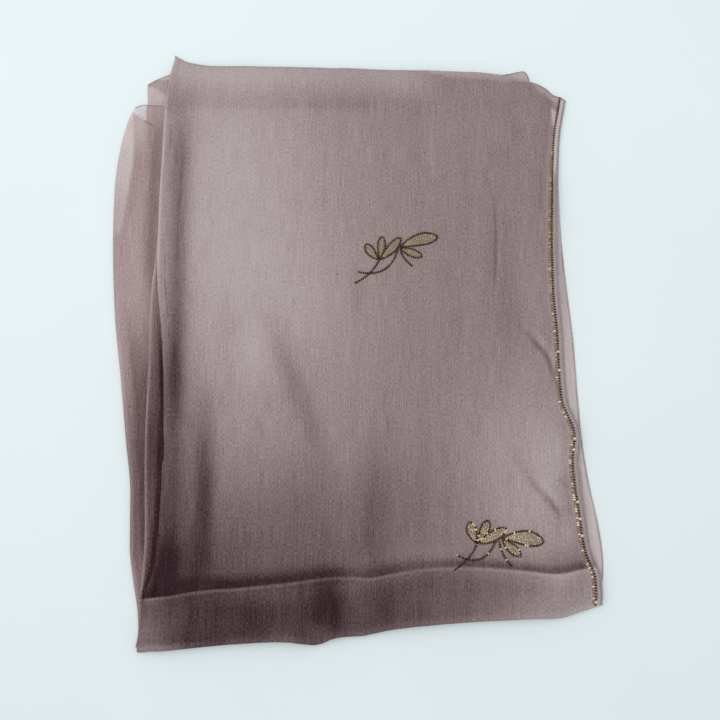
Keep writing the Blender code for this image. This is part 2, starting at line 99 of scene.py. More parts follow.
# Columns: x, y.
upperEdge = curveThrough((
    (-170, 263), (-160, 260.9), (-152, 256.5), (-137, 251.9), (-92, 249.6), (-46, 248.9), (-1, 247.6),
    (46, 245.8), (84, 244.8), (133, 241.8), (147, 239.5), (160, 235.7), (166.7, 234), (171.6, 232),
    (175.7, 229.5), (181.5, 224), (187.5, 221.6), (194, 217.9),
))
lowerEdge = curveThrough((
    (-177, -259.4), (-151, -257.8), (-131, -255.8), (-98, -252.7), (-50, -251), (-38, -252.6),
    (-30, -253.6), (-23, -252.3), (-16, -249.2), (12, -245.9), (32, -241.7), (81, -236.5), (147, -232.8),
    (176, -231.5), (188, -227.8), (206, -222.5),
))
bandLine = curveThrough((
    (-180, -218), (-156, -214.5), (-123, -209), (-90, -206.6), (-58, -203.4), (-5, -197.8), (16, -198.4),
    (32, -195.8), (57, -191.8), (82, -190.2), (114, -191), (147, -193.8), (169, -195.8), (184, -193.4),
    (206, -191),
))
leftCorner = curveThrough(((-184.5, 233.5), (-180, 236.3), (-173, 240), (-166, 243), (-150, 246)))
backTop = curveThrough((
    (60, 243), (84, 246), (126, 244.3), (134, 243.2), (142.4, 243.9), (150.6, 245.7), (156.4, 246.4),
    (159, 243.9), (161.4, 236.4), (164, 231),
))
hemMargin = 5.6


def hemEdge(y):
    return beadLine(y) + hemMargin


def ease(value, low, high):
    t = np.clip((np.asarray(value, float) - low) / (high - low), 0, 1)
    return t * t * (3 - 2 * t)


def bump(value, centre, width):
    return np.exp(-(((value - centre) / width) ** 2))


def softNoise(x, y, sizeX, sizeY, seed):  # smooth noise from -1 to 1 whose lumps are sizeX by sizeY
    lattice = np.random.RandomState(seed).uniform(-1, 1, (257, 257))
    u, v = np.asarray(x) / sizeX + 3000.5, np.asarray(y) / sizeY + 3000.5
    i, j = np.floor(u).astype(int), np.floor(v).astype(int)
    a, b = u - i, v - j
    a, b = a * a * (3 - 2 * a), b * b * (3 - 2 * b)
    i0, j0, i1, j1 = i % 257, j % 257, (i + 1) % 257, (j + 1) % 257
    low = lattice[j0, i0] * (1 - a) + lattice[j0, i1] * a
    high = lattice[j1, i0] * (1 - a) + lattice[j1, i1] * a
    return low * (1 - b) + high * b


def crinkled(x, y, rows):
    return sum(height * softNoise(x, y, *lump) for height, *lump in rows)


def blurred(field, sigma):
    reach = int(math.ceil(3 * sigma))
    kernel = np.exp(-0.5 * (np.arange(-reach, reach + 1) / sigma) ** 2)
    kernel /= kernel.sum()
    for axis in (0, 1):
        pad = [(0, 0), (0, 0)]
        pad[axis] = (reach, reach)
        wide = np.pad(field, pad)
        field = sum(k * np.take(wide, range(n, n + field.shape[axis]), axis) for n, k in enumerate(kernel))
    return field


def rayTree(mesh):
    return BVHTree.FromPolygons([v.co.copy() for v in mesh.vertices], [tuple(p.vertices) for p in mesh.polygons])


mapStep, mapMargin, wideBlur = 2.0, 14, 8.0


def heightMap(nodeName, inside, blurMm, below=False):  # a reader of a solid's upper or lower side, smoothed
    tree = rayTree(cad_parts[nodeName].data)
    low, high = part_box(nodeName)
    xs = np.arange(low.x / mm - mapMargin, high.x / mm + mapMargin, mapStep)
    ys = np.arange(low.y / mm - mapMargin, high.y / mm + mapMargin, mapStep)
    gridX, gridY = np.meshgrid(xs, ys)
    heights, weights = np.zeros(gridX.shape), np.zeros(gridX.shape)
    start, way = (-0.05, 1) if below else (0.1, -1)
    for r, c in zip(*np.nonzero(inside(gridX, gridY))):
        hit = tree.ray_cast(Vector((xs[c] * mm, ys[r] * mm, start)), Vector((0, 0, way)))[0]
        if hit is not None:
            heights[r, c], weights[r, c] = hit.z / mm, 1
    near, wide = blurred(weights, blurMm / mapStep), blurred(weights, wideBlur)
    sharp = blurred(heights, blurMm / mapStep) / np.maximum(near, 1e-6)
    rough = blurred(heights, wideBlur) / np.maximum(wide, 1e-6)
    share = ease(near, 0.002, 0.08)
    field = sharp * share + rough * (1 - share)

    def read(x, y):
        column = np.clip((np.asarray(x, float) - xs[0]) / mapStep, 0, len(xs) - 1.001)
        row = np.clip((np.asarray(y, float) - ys[0]) / mapStep, 0, len(ys) - 1.001)
        c, r = column.astype(int), row.astype(int)
        a, b = column - c, row - r
        return (
            field[r, c] * (1 - a) * (1 - b)
            + field[r, c + 1] * a * (1 - b)
            + field[r + 1, c] * (1 - a) * b
            + field[r + 1, c + 1] * a * b
        )

    return read


def edgeGrid(left, right, low, high, rows, columns):  # plan points; rows and columns are (share, offset) pairs
    shareV, addV = np.array(rows).T[:, :, None]
    shareU, addU = np.array(columns).T[:, None, :]
    x = y = np.zeros((len(rows), len(columns)))
    for _ in range(12):  # each pass brings x and y closer to edges that depend on one another
        y = low(x) * (1 - shareV) + high(x) * shareV + addV
        x = left(y) * (1 - shareU) + right(y) * shareU + addU
    return x, y


def fromEnds(lowOffsets, highOffsets, between):  # close rows at both ends, the rest spread between them
    low = [(0.0, d) for d in lowOffsets]
    high = [(1.0, -d) for d in reversed(highOffsets)]
    a, b = lowOffsets[-1], -highOffsets[-1]
    shares = np.linspace(0, 1, between + 2)[1:-1] if isinstance(between, int) else between
    middle = [(s, a * (1 - s) + b * s) for s in shares]
    return [*low, *middle, *high]


def level(value):  # an edge that runs straight across the cloth
    return lambda along: 0 * along + value


def shifted(curve, by):
    return lambda along: curve(along) + by


def stacked(*columns):
    return np.stack(np.broadcast_arrays(*columns), axis=-1)


def gridNormals(points):
    across, along = np.gradient(points, axis=1), np.gradient(points, axis=0)
    normal = np.cross(across, along)
    return normal / np.maximum(np.linalg.norm(normal, axis=-1, keepdims=True), 1e-9)


def linkedMesh(name, mesh):
    piece = bpy.data.objects.new(name, mesh)
    bpy.context.scene.collection.objects.link(piece)
    return piece


def closedCloth(name, upper, lower, material, fields):  # one closed mesh between two grids, in millimetres
    rows, columns = upper.shape[:2]
    top = np.arange(rows * columns).reshape(rows, columns)
    under = top + rows * columns

    def quads(a, b, c, d):
        return np.stack([a.ravel(), b.ravel(), c.ravel(), d.ravel()], axis=-1)

    faces = np.concatenate([
        quads(top[:-1, :-1], top[:-1, 1:], top[1:, 1:], top[1:, :-1]),
        quads(under[:-1, :-1], under[1:, :-1], under[1:, 1:], under[:-1, 1:]),
        quads(top[0, 1:], top[0, :-1], under[0, :-1], under[0, 1:]),
        quads(top[-1, :-1], top[-1, 1:], under[-1, 1:], under[-1, :-1]),
        quads(top[:-1, 0], top[1:, 0], under[1:, 0], under[:-1, 0]),
        quads(top[1:, -1], top[:-1, -1], under[:-1, -1], under[1:, -1]),
    ])
    mesh = bpy.data.meshes.new(name)
    points = np.concatenate([upper.reshape(-1, 3), lower.reshape(-1, 3)]) * mm
    mesh.from_pydata(points.tolist(), [], faces.tolist())
    for field, values in fields.items():
        layer = mesh.attributes.new(field, "FLOAT", "POINT")
        flat = np.broadcast_to(values, (rows, columns)).ravel()
        layer.data.foreach_set("value", np.concatenate([flat, flat]).astype(np.float32))
    mesh.shade_smooth()
    mesh.materials.append(material)
    return linkedMesh(name, mesh)


# materials
chiffonLook = {
    "tones": ((0.0, (0.50, 0.420, 0.420)), (0.5, (0.268, 0.198, 0.198)), (0.8, (0.116, 0.074, 0.079)),
              (1.0, (0.028, 0.009, 0.013))),
    "paleTones": ((0.68, 0.58, 0.575), (0.82, 0.725, 0.71)),  # of a single layer
    "crinkle": (1650.0, 420.0, 0.80),  # crinkles to a metre across and along, and how much they show
    "streaks": (1300.0, 46.0, 0.42),
    "drift": (95.0, 8.0, 0.14),
    "crinkleDepth": 0.00012,
    "thinnest": 0.8,  # how solid one side of a single layer is
}


class NodeTree:
    def add(self, kind, settings=(), **inputs):  # inputs go by name, or by number as i0, i1
        node = self.tree.nodes.new(kind)
        for key, value in dict(settings).items():
            setattr(node, key, value)
        for key, value in inputs.items():
            self.feed(node.inputs[int(key[1:]) if key[0] == "i" and key[1:].isdigit() else key], value)
        return node

    def feed(self, socket, value):
        if isinstance(value, bpy.types.NodeSocket):
            self.tree.links.new(value, socket)
        else:
            socket.default_value = value


def colour(rgb):
    return rgb if isinstance(rgb, bpy.types.NodeSocket) else (*rgb, 1.0)


class Nodes(NodeTree):
    def __init__(self, name):
        self.material = bpy.data.materials.new(name)
        self.material.use_nodes = True
        self.tree = self.material.node_tree

    def finish(self, inputs):  # sets the shader and hands the material over
        for name, value in inputs.items():
            self.feed(self.tree.nodes["Principled BSDF"].inputs[name], value)
        return self.material

    def math(self, operation, a, b=0.0, c=0.0, clamp=False):
        return self.add("ShaderNodeMath", {"operation": operation, "use_clamp": clamp}, i0=a, i1=b, i2=c).outputs[0]

    def times(self, a, b, clamp=False):
        return self.math("MULTIPLY", a, b, clamp=clamp)

    def plus(self, a, b, clamp=False):
        return self.math("ADD", a, b, clamp=clamp)

    def swing(self, value, amount):  # turns a noise into a swing about zero
        return self.times(self.math("SUBTRACT", value, 0.5), -amount)

    def attribute(self, name):
        return self.add("ShaderNodeAttribute", {"attribute_name": name}).outputs["Fac"]

    def place(self):
        return self.add("ShaderNodeTexCoord").outputs["Object"]

    def noise(self, vector, scale, detail=2.0, roughness=0.5, distortion=0.0):
        return self.add("ShaderNodeTexNoise", Vector=vector, Scale=scale, Detail=detail, Roughness=roughness,
                        Distortion=distortion).outputs["Fac"]

    def span(self, value, low, high, outLow=0.0, outHigh=1.0):
        return self.add("ShaderNodeMapRange", i0=value, i1=low, i2=high, i3=outLow, i4=outHigh).outputs[0]

    def mix(self, factor, a, b):
        return self.add("ShaderNodeMix", {"data_type": "RGBA"}, i0=factor, i6=colour(a), i7=colour(b)).outputs[2]

    def ramp(self, share, stops, interpolation="LINEAR"):  # stops are pairs of a position and a colour
        node = self.add("ShaderNodeValToRGB", Fac=share)
        node.color_ramp.interpolation = interpolation
        elements = node.color_ramp.elements
        for k, (position, rgb) in enumerate(stops):
            stop = elements[k] if k < 2 else elements.new(position)
            stop.position, stop.color = position, colour(rgb)
        return node.outputs["Color"]


def chiffonMaterial(name, rosier=1.0):
    look = chiffonLook
    n = Nodes(name)
    across, along = n.attribute("across"), n.attribute("along")
    # depth is the cloth's tone: partly how many layers lie beneath, partly painted light and shade
    depth, sheer = n.attribute("depth"), n.attribute("sheer")

    def clothNoise(key, *details):
        toMetre = look[key]
        place = n.add("ShaderNodeCombineXYZ", i0=n.times(across, toMetre[0]), i1=n.times(along, toMetre[1]))
        return n.noise(place.outputs[0], 1.0, *details)

    fine, streaks = clothNoise("crinkle", 1.0), clothNoise("streaks", 1.0)
    broad = clothNoise("drift", 2.0, 0.55, 0.2)
    relief = n.plus(n.times(fine, 0.7), n.times(streaks, 0.3))
    ripple = n.plus(n.swing(fine, look["crinkle"][2]), n.swing(streaks, look["streaks"][2]))
    ripple = n.times(ripple, n.span(depth, 0.3, 1.0, 1.0, 0.5))
    tone = n.plus(n.plus(depth, ripple), n.swing(broad, look["drift"][2]), clamp=True)
    layered = n.ramp(tone, [(position, (r, g * rosier, b * rosier)) for position, (r, g, b) in look["tones"]])
    pale = n.mix(n.span(relief, 0.38, 0.62), *look["paleTones"])
    # up to 1 the cloth is paler and thinner, from 1 to 2 it opens
    thin, opened = n.span(sheer, 0.0, 1.0, 1.0, look["thinnest"]), n.span(sheer, 1.0, 2.0, 0.0, look["thinnest"])
    return n.finish({
        "Base Color": n.mix(n.times(sheer, 0.92, clamp=True), layered, pale),
        "Roughness": n.span(fine, 0.3, 0.7, 0.6, 0.74),
        "Specular IOR Level": 0.12,
        "Sheen Weight": 0.07,
        "Sheen Roughness": 0.25,
        "Sheen Tint": (0.9, 0.84, 0.84, 1),
        "Normal": n.add("ShaderNodeBump", Height=relief, Strength=0.8, Distance=look["crinkleDepth"]).outputs[0],
        "Alpha": n.math("SUBTRACT", thin, opened, clamp=True),
    })


# three colours, of which each bead draws one; the brightest stands partly for pale gold beads and partly for painted
# glints, and more of these painted glints lie to the front
def beadMaterial(name, tones, metallic=0.1, roughness=0.32, shares=(0.62, 0.86)):
    n = Nodes(name)
    place = n.place()
    y = n.add("ShaderNodeSeparateXYZ", i0=place).outputs[1]
    # painted glints: towards the front the beads draw the brighter colours more often
    share = n.plus(n.attribute("tone"), n.span(y, 0.22, -0.2, -0.22, 0.10))
    return n.finish({
        "Base Color": n.ramp(share, zip((0.0, *shares), tones), "CONSTANT"),
        "Roughness": n.span(n.noise(place, 2600.0), 0.3, 0.7, roughness, roughness + 0.15),
        "Metallic": metallic,
        "Specular IOR Level": 0.1,
    })


def threadMaterial(name, dark, light, metallic=0.0, roughness=0.6):
    n = Nodes(name)
    grain = n.noise(n.place(), 1500.0)
    return n.finish({
        "Base Color": n.mix(n.span(grain, 0.4, 0.62), dark, light),
        "Roughness": n.span(grain, 0.3, 0.7, roughness + 0.12, roughness),
        "Metallic": metallic,
    })


chiffon = chiffonMaterial("sheerMauveChiffon")
layeredChiffon = chiffonMaterial("layeredMauveChiffon", 0.92)
hemThread = threadMaterial("greyMauveOverlockThread", (0.24, 0.205, 0.205), (0.43, 0.38, 0.375))
paleHemThread = threadMaterial("paleHemThread", (0.34, 0.30, 0.295), (0.50, 0.455, 0.445))
roseHemThread = threadMaterial("roseHemThread", (0.31, 0.205, 0.205), (0.47, 0.345, 0.34))
cordThread = threadMaterial("tanCordThread", (0.16, 0.095, 0.06), (0.32, 0.21, 0.14), 0.1, 0.5)
stitchThread = threadMaterial("paleRoseStitch", (0.80, 0.67, 0.66), (0.92, 0.84, 0.83), 0.0, 0.55)
pinkThread = threadMaterial("pinkHemStitch", (0.38, 0.25, 0.25), (0.60, 0.44, 0.43), 0.0, 0.55)
goldThread = threadMaterial("paleGoldThread", (0.36, 0.285, 0.205), (0.62, 0.52, 0.40), 0.15, 0.4)
fillThread = threadMaterial("brownFillThread", (0.22, 0.165, 0.115), (0.40, 0.32, 0.23), 0.15, 0.4)
darkBeads = beadMaterial("antiqueBronzeBeads", ((0.042, 0.016, 0.004), (0.14, 0.070, 0.022), (0.92, 0.76, 0.53)),
                         shares=(0.60, 0.90))
sprigBeads = beadMaterial("bronzeSprigBeads", ((0.018, 0.005, 0.002), (0.11, 0.050, 0.018), (0.78, 0.62, 0.40)),
                          shares=(0.62, 0.92))
stemBeads = beadMaterial("darkBronzeBeads", ((0.016, 0.004, 0.002), (0.05, 0.017, 0.007), (0.60, 0.46, 0.30)),
                         shares=(0.76, 1.04))
goldBeads = beadMaterial("paleGoldBeads", ((0.37, 0.265, 0.15), (0.59, 0.455, 0.275), (0.88, 0.76, 0.56)), 0.3, 0.28)
print("materials ready")


# depth carries the cloth's tone, painted light and shade included
def fieldsFor(x, y, sheer, depth, origin=0.0):
    return {"across": (x - origin) * mm, "along": y * mm, "sheer": sheer, "depth": depth}


def layStretch(name, node, upper, lower, fields):
    piece = closedCloth(name, upper, lower, layeredChiffon if "left" in name else chiffon, fields)
    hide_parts(node)
    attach(piece, "root")
    return piece


# the uppermost stretch
topSheet = {
    "wall": 0.3,
    "foldRadius": 0.6,
    "underTurn": (1.2, 3.0, 6.0),
    "frontFoot": 0.75,  # how high the front fold ends, and how far it comes round
    "frontReach": 3.0,
    "columns": 236,
    "bandRows": 16,
    "closeSpacing": 2.0,
    "wideSpacing": 5.2,
    "closeZones": ((-80, 48), (-152, -114)),
    # height, size across and along, seed
    "crinkle": ((0.10, 3.6, 40, 11), (0.12, 7.0, 70, 12), (0.20, 15, 110, 13), (0.26, 34, 90, 14)),
}
# Pressed creases. Columns: half width, height, then the points x, y that they run through.
pressedCreases = (
    (1.1, -0.55, ((125, 132), (125.5, 110), (126, 82), (124.5, 60), (120.5, 31))),
    (0.9, -0.5, ((166, 158), (166.6, 132), (165, 106))),
    (1.8, 0.35, ((129, 128), (130, 90), (128.5, 58), (124, 30))),
    (2.1, -0.8, ((143, 13), (154, 0), (166, -15), (173, -32), (176.8, -47), (180.5, -60))),
    (3.0, 0.4, ((150, 13), (161, 0), (172, -15), (178.5, -31), (181.5, -46))),
    (2.0, -0.6, ((148, -116), (153, -126), (160.5, -135), (166.5, -141), (172, -148.4), (177, -158))),
    (2.4, 0.35, ((155, -114), (162, -125), (169.5, -134.5), (176, -142))),
    (1.0, -0.35, ((177.5, 222.8), (179, 213), (182.2, 203.9))),
    (5.0, -0.7, ((-40, -228), (-33, -238), (-26, -247))),
    (4.0, 0.6, ((-48, -226), (-46, -236), (-42, -246))),
    (1.4, -0.3, ((-150, 196), (-149, 150), (-151, 100), (-150, 50))),
    (1.2, -0.25, ((-20, 190), (-24, 150), (-22, 100))),
    (1.6, 0.3, ((70, 200), (72, 160), (69, 120))),
)
# The soft shade beside a crease. Columns: half width, tone, and the points x, y of its path.
creaseShades = (
    (1.9, 0.13, ((148.5, -119), (156.5, -126.5), (164.5, -134.5))),
    (1.5, 0.22, ((159, -129), (167.5, -139), (175, -151))),
    (1.5, 0.10, ((154, 2), (166.5, -13), (174, -31), (178, -46))),
    (3.0, 0.12, ((171, -117), (177, -121.5), (184, -127))),
    (4.5, 0.09, ((131, -86), (139, -104), (149, -118), (159, -128))),
)
# Soft patches of tone: painted light and shade, and in part where fewer or more layers lie beneath, so that the cloth
# looks paler or deeper.
# Columns: x, y, reach along x, reach along y, amount, and where it lies askew its turn in degrees.
fieldToneAndShade = (
    (-110, 105, 85, 190, -0.36), (-10, 160, 80, 60, -0.05), (-30, 30, 60, 70, -0.12),
    (-50, -35, 60, 10, 0.20, -70), (-81, -14, 14, 24, -0.12), (-106, 17, 10, 26, 0.08),
    (-122, -126, 10, 60, 0.30), (-158, -80, 26, 90, 0.18), (-154, -48, 12, 44, 0.11),
    (-127, -72, 15, 40, 0.12), (-150, -158, 32, 30, -0.08), (30, -166, 70, 30, -0.07),
    (148, -176, 18, 14, -0.10), (174, -187, 12, 11, 0.12), (58, -187, 34, 14, -0.12),
    (-112, 175, 22, 40, -0.04), (-100, 50, 26, 34, -0.04), (141, 14, 14, 30, 0.08),
    (173, -24, 8, 16, -0.06), (-160, -130, 6, 60, 0.06), (177, -92, 8, 20, -0.06),
    (181, -162, 9, 16, -0.13), (-138, -190, 20, 20, 0.04), (-43, -135, 30, 25, 0.03),
    (7, -194, 15, 9, -0.16), (-163, -212, 8, 8, -0.12), (5, 38, 7, 22, 0.09),
    (154, 20, 18, 55, -0.08), (-143, -196, 48, 44, 0.11), (138, -112, 44, 66, -0.24),
    (166, -118, 17, 60, -0.18), (140, -152, 22, 26, -0.12), (175, -185, 16, 22, -0.12),
    (130, 70, 10, 60, 0.06), (20, -150, 14, 60, 0.08), (-6, -110, 16, 40, -0.06),
)
# Soft patches of tone on the front band, partly painted light and shade and partly its many layers; same columns as
# above, without the turn.
bandToneAndShade = (
    (-16, -222, 12, 24, 0.09), (26, -222, 11, 24, 0.06), (1, -222, 9, 24, -0.05),
    (-54, -222, 14, 24, -0.04), (-168, -246, 20, 20, -0.27), (172, -197, 14, 9, -0.08),
    (-150, -226, 14, 14, -0.05), (196, -210, 10, 14, -0.12), (168, -204, 16, 10, -0.05),
    (66, -222, 14, 20, -0.06), (124, -218, 24, 18, 0.05), (-25, -243, 10, 8, -0.12),
    (-70, -211, 36, 8, -0.10), (-124, -253, 20, 6, 0.08), (-162, -217, 9, 8, -0.13),
    (-5, -206, 14, 7, -0.09), (-55, -246, 12, 8, -0.07), (-60, -222, 90, 30, 0.035),
)
backStrip = curveThrough(((66, 243.5), (84, 240.5), (110, 238.2), (133, 236.6), (160, 235.2)))  # its lower border


def placed(x, y, table):
    total = np.zeros(np.shape(x))
    for cx, cy, rx, ry, amount, *turn in table:
        a = math.radians(turn[0] if turn else 0)
        u = (x - cx) * math.cos(a) + (y - cy) * math.sin(a)
        v = -(x - cx) * math.sin(a) + (y - cy) * math.cos(a)
        total = total + amount * np.exp(-((u / rx) ** 2 + (v / ry) ** 2))
    return total


def creased(x, y, table):
    total = np.zeros(np.shape(x))
    for halfWidth, height, path in table:
        best = np.full(np.shape(x), 1e9)
        where = np.zeros(np.shape(x))
        runs = [math.dist(a, b) for a, b in zip(path, path[1:])]
        done = 0.0
        for (ax, ay), (bx, by), run in zip(path, path[1:], runs):
            t = np.clip(((x - ax) * (bx - ax) + (y - ay) * (by - ay)) / run**2, 0, 1)
            away = np.hypot(x - ax - t * (bx - ax), y - ay - t * (by - ay))
            where = np.where(away < best, done + t * run, where)
            best = np.minimum(best, away)
            done += run
        ends = ease(where, 0, done * 0.3) * (1 - ease(where, done * 0.7, done))
        total = total + height * ends * np.exp(-((best / halfWidth) ** 2))
    return total


def insideTop(x, y):
    return (
        (x > leftFold(y) + 2.4) & (x < hemEdge(y) - 1.2)
        & (y > lowerEdge(x) + 3.2) & (y < upperEdge(x) - 1.2)
    )


topMap = heightMap("top_stretch", insideTop, 2.6)


def topHeight(x, y):
    edge = np.minimum(np.minimum(x - leftFold(y), hemEdge(y) - x), np.minimum(upperEdge(x) - y, y - lowerEdge(x)))
    crinkle = crinkled(x, y, topSheet["crinkle"])
    wave = 0.35 * softNoise(x, y, 17, 9, 15) * (1 - ease(edge, 2, 14))
    above = y - bandLine(x)
    lip = (0.8 * bump(above, -1.2, 1.4) - 1.1 * bump(above, 2.6, 3.4)) * (1 - 0.35 * ease(x, 20, 120))
    relief = (crinkle + creased(x, y, pressedCreases) + lip) * ease(edge, 0, 6)
    return topMap(x, y) + relief + wave * ease(edge, 0.3, 3)


# The tone of the uppermost stretch, partly how many layers lie beneath and partly painted light and shade: darker
# towards the bottom, painted shade in the valley beside the left fold and above the front band's ridge, painted
# highlights on the fold's crest and on the ridge's lip.
def topToneAndShade(x, y):
    away = x - leftFold(y)
    above = y - bandLine(x)
    low = ease(-y, 60, 190)
    field = 0.47 + placed(x, y, fieldToneAndShade) + low * 0.30 * (1 - 0.6 * ease(x, 10, 110))
    field = field + 0.10 * ease(y, 203, 210) * (1 - 0.9 * ease(x, -10, 70))
    # painted shade in the valley beside the left fold
    foldValleyShade = 0.42 * bump(away, 15.5 + 2.5 * ease(210 - y, 0, 90) - 7 * ease(60 - y, 0, 90), 10)
    foldValleyShade = foldValleyShade * ease(240 - y, 0, 90) * (1 - 0.62 * ease(-y, 10, 100))
    # painted highlight along the crest of the left fold
    crestHighlight = -0.46 * bump(away, 0.6, 1.35) * ease(y, 30, 80) * (1 - 0.7 * ease(y, 200, 235))
    shade = 0.22 * bump(above, 2.0, 7.0 - 2.5 * ease(x, 40, 90)) * (1 + 0.25 * ease(x, 40, 90))
    margin = (1 - ease(upperEdge(x) - y, 6, 42)) * (1 - ease(x, 40, 90))
    strip = ease(y - backStrip(x), -0.5, 0.5) * ease(x, 62, 72) * (1 - ease(x, 160, 164))
    paleCorner = ease(0.66 * (x - 164.9) + 0.75 * (y - 230.4), 0, 2.5) * ease(x, 157, 162) * ease(y, 200, 206)
    field = field + foldValleyShade + crestHighlight + shade - 0.27 * margin - 0.21 * strip - 0.26 * paleCorner
    # painted shade in the pressed creases, painted highlight on their ridges, and the painted shade beside them
    field = field - 0.28 * creased(x, y, pressedCreases) + creased(x, y, creaseShades)
    # the front band, darker to the left, partly from its many layers and partly painted shade, with a painted
    # highlight just below its ridge
    band = 0.90 - 0.08 * ease(x, -20, 20) - ease(x, 50, 182) * (0.36 + 0.16 * ease(-y, 204, 226))
    band = band + placed(x, y, bandToneAndShade) - 0.07 * bump(above, -3, 6) * ease(x, -20, 30)
    brim = 1 - ease(y - lowerEdge(x), 2, 9)
    band = band - brim * (0.10 + 0.14 * (1 - ease(x, -150, -110)))
    share = 1 - ease(above, -0.8, 0.8)
    lit = -0.16 * bump(above, -1.3, 1.2)
    return np.clip(field * (1 - share) + band * share + lit, 0.0, 1)


def topSheer(x, y):
    leftSide = ease(x - leftFold(y), 3, 8)
    upper = ease(y - upperEdge(x), -3, -1) * 0.10
    strip = ease(x - beadLine(y), -0.4, 0.6) * (0.32 + 0.68 * ease(y, 138, 160))
    corner = 0.9 * ease(9 - np.hypot((x - 181.0) * 2.2, y - 200.5), 0, 1.5) * ease(x, 178.4, 180)
    side = ease(x - hemEdge(y), -12.5, -9) * 0.16
    return np.maximum.reduce([upper, strip, corner, side]) * leftSide


def spreadRows(low, high):
    places = [low]
    while places[-1] < high:
        near = any(a < places[-1] < b for a, b in topSheet["closeZones"])
        places.append(places[-1] + topSheet["closeSpacing" if near else "wideSpacing"])
    return ((np.array(places) - low) / (places[-1] - low))[1:-1]


def buildTopSheet():
    s = topSheet
    columns = fromEnds((s["foldRadius"], 1.1, 1.8, 2.8), (0, 0.5, 1.2, 2.2), s["columns"])
    bandRows = fromEnds((3.0, 4.2, 5.6), (0, 0.5, 1.0, 1.6, 2.4, 3.4, 4.6), s["bandRows"])
    fieldRows = fromEnds((0.6, 1.2, 1.9, 2.7, 3.6, 4.6, 6.0, 8.0), (0, 0.6, 1.4, 2.6, 4.2), spreadRows(-190, 243))
    x0, y0 = edgeGrid(leftFold, hemEdge, lowerEdge, bandLine, bandRows, columns)
    x1, y1 = edgeGrid(leftFold, hemEdge, bandLine, upperEdge, fieldRows, columns)
    x, y = np.concatenate([x0, x1]), np.concatenate([y0, y1])
    z = topHeight(x, y)
    # the fold at the left turns under, less and less towards its upper tip
    r = s["foldRadius"]
    turn = np.radians([180, 150, 120, 90, 60, 30])
    taper = ease(upperEdge(x[:, :1]) - y[:, :1], 0.5, 26)
    underTurn = np.array(s["underTurn"][::-1]) * taper + 0.25
    foldX = x[:, :1] + np.concatenate([underTurn, 0 * turn * taper], axis=1)
    foldX = foldX - np.concatenate([np.zeros(3), r * np.sin(turn)])
    foldZ = z[:, :1] - r + np.concatenate([np.full(3, -r), r * np.cos(turn)])
    x = np.concatenate([foldX, x], axis=1)
    y = np.concatenate([y[:, :1] + 0 * foldX, y], axis=1)
    z = np.concatenate([foldZ, z], axis=1)
    # the fold at the front turns down over the hidden layers
    foot, edgeY = s["frontFoot"], lowerEdge(x[0])
    rows = [stacked(x[0], edgeY + s["frontReach"] * (1 - np.sin(angle)),
                    foot + (z[0] - foot) * (0.5 + 0.5 * np.cos(angle)))
            for angle in np.radians([195, 165, 140, 115, 90, 65, 42, 20])]
    grid = np.concatenate([np.array(rows), stacked(x, y, z)])
    flatX, flatY = grid[..., 0], grid[..., 1]
    fields = fieldsFor(flatX, flatY, topSheer(flatX, flatY), topToneAndShade(flatX, flatY), 0.12 * leftFold(flatY))
    return layStretch("topStretch", "top_stretch", grid, grid - gridNormals(grid) * s["wall"], fields)


topStretch = buildTopSheet()
print("uppermost stretch laid")

# stretches below it
underCloth = {
    "wall": 0.34,
    "floor": 0.06,
    "leftCornerFoot": 174,
    "leftOuterFoot": -255.3,
    "leftRollEnds": (-216.3, 95.8),
    "rightOuterEnds": (-218.3, 150.8),
    "rightInnerEnds": (-214.8, 127.8),
    "backTopEnds": (62.4, 162.0),
    "outerCrinkle": ((0.16, 3.0, 40, 31), (0.22, 7.0, 60, 32)),
    "rollCrinkle": ((0.12, 2.4, 30, 41), (0.16, 5.0, 50, 42)),
}


def singleLayer(name, node, x, y, z, sheer, depth):
    outer = stacked(x, y, z)
    lower = outer - gridNormals(outer) * underCloth["wall"]
    lower[..., 2] = np.maximum(lower[..., 2], underCloth["floor"])
    return layStretch(name, node, outer, lower, fieldsFor(x, y, sheer, depth))


def buildLeftCorner():
    def left(y):
        return 0 * y - 184.2 - 0.5 * np.sin(y / 9.0)

    x, y = edgeGrid(left, shifted(leftFold, 6), level(underCloth["leftCornerFoot"]), leftCorner,
                    fromEnds((0,), (0, 0.6, 1.4), 40), fromEnds((0, 0.6, 1.4), (0,), 16))
    z = 0.5 + 0.35 * (1 + softNoise(x, y, 6, 14, 21)) * ease(x, -184, -178)
    double = ease(y - 233 + 0.54 * (x + 184.5), -0.4, 0.4) * (1 - ease(y - 238.7, -0.4, 0.4))
    sheer = 0.62 - 0.40 * double - 0.06 * ease(x, -184, -170)
    return singleLayer("leftCornerStretch", "left_corner_stretch", x, y, z, sheer, 0.08 + 0.18 * double)


def rounding(distance, reach):
    t = np.clip(distance / reach, 0, 1)
    return np.sqrt(np.maximum(1 - (1 - t) ** 2, 0.0025))


def doubled(name, node, x, y, readTop, readBottom, edge, reach, sheer, depth, extra=0.0):
    top = readTop(x, y) + extra
    low = np.maximum(readBottom(x, y), underCloth["floor"])
    middle, half = (top + low) / 2, (top - low) / 2
    middle = low + half * (0.75 + 0.25 * ease(edge, 0, reach))
    share = rounding(edge, reach)
    upper = stacked(x, y, np.maximum(middle + half * share, underCloth["floor"] + 0.2))
    lower = stacked(x, y, np.maximum(middle - half * share, underCloth["floor"]))
    return layStretch(name, node, upper, lower, fieldsFor(x, y, sheer, depth))


leftInner = curveThrough(((205, -196.2), (199, -196), (171, -194.2), (137, -197.2), (109, -200.4), (98, -202),
                          (86, -204)))


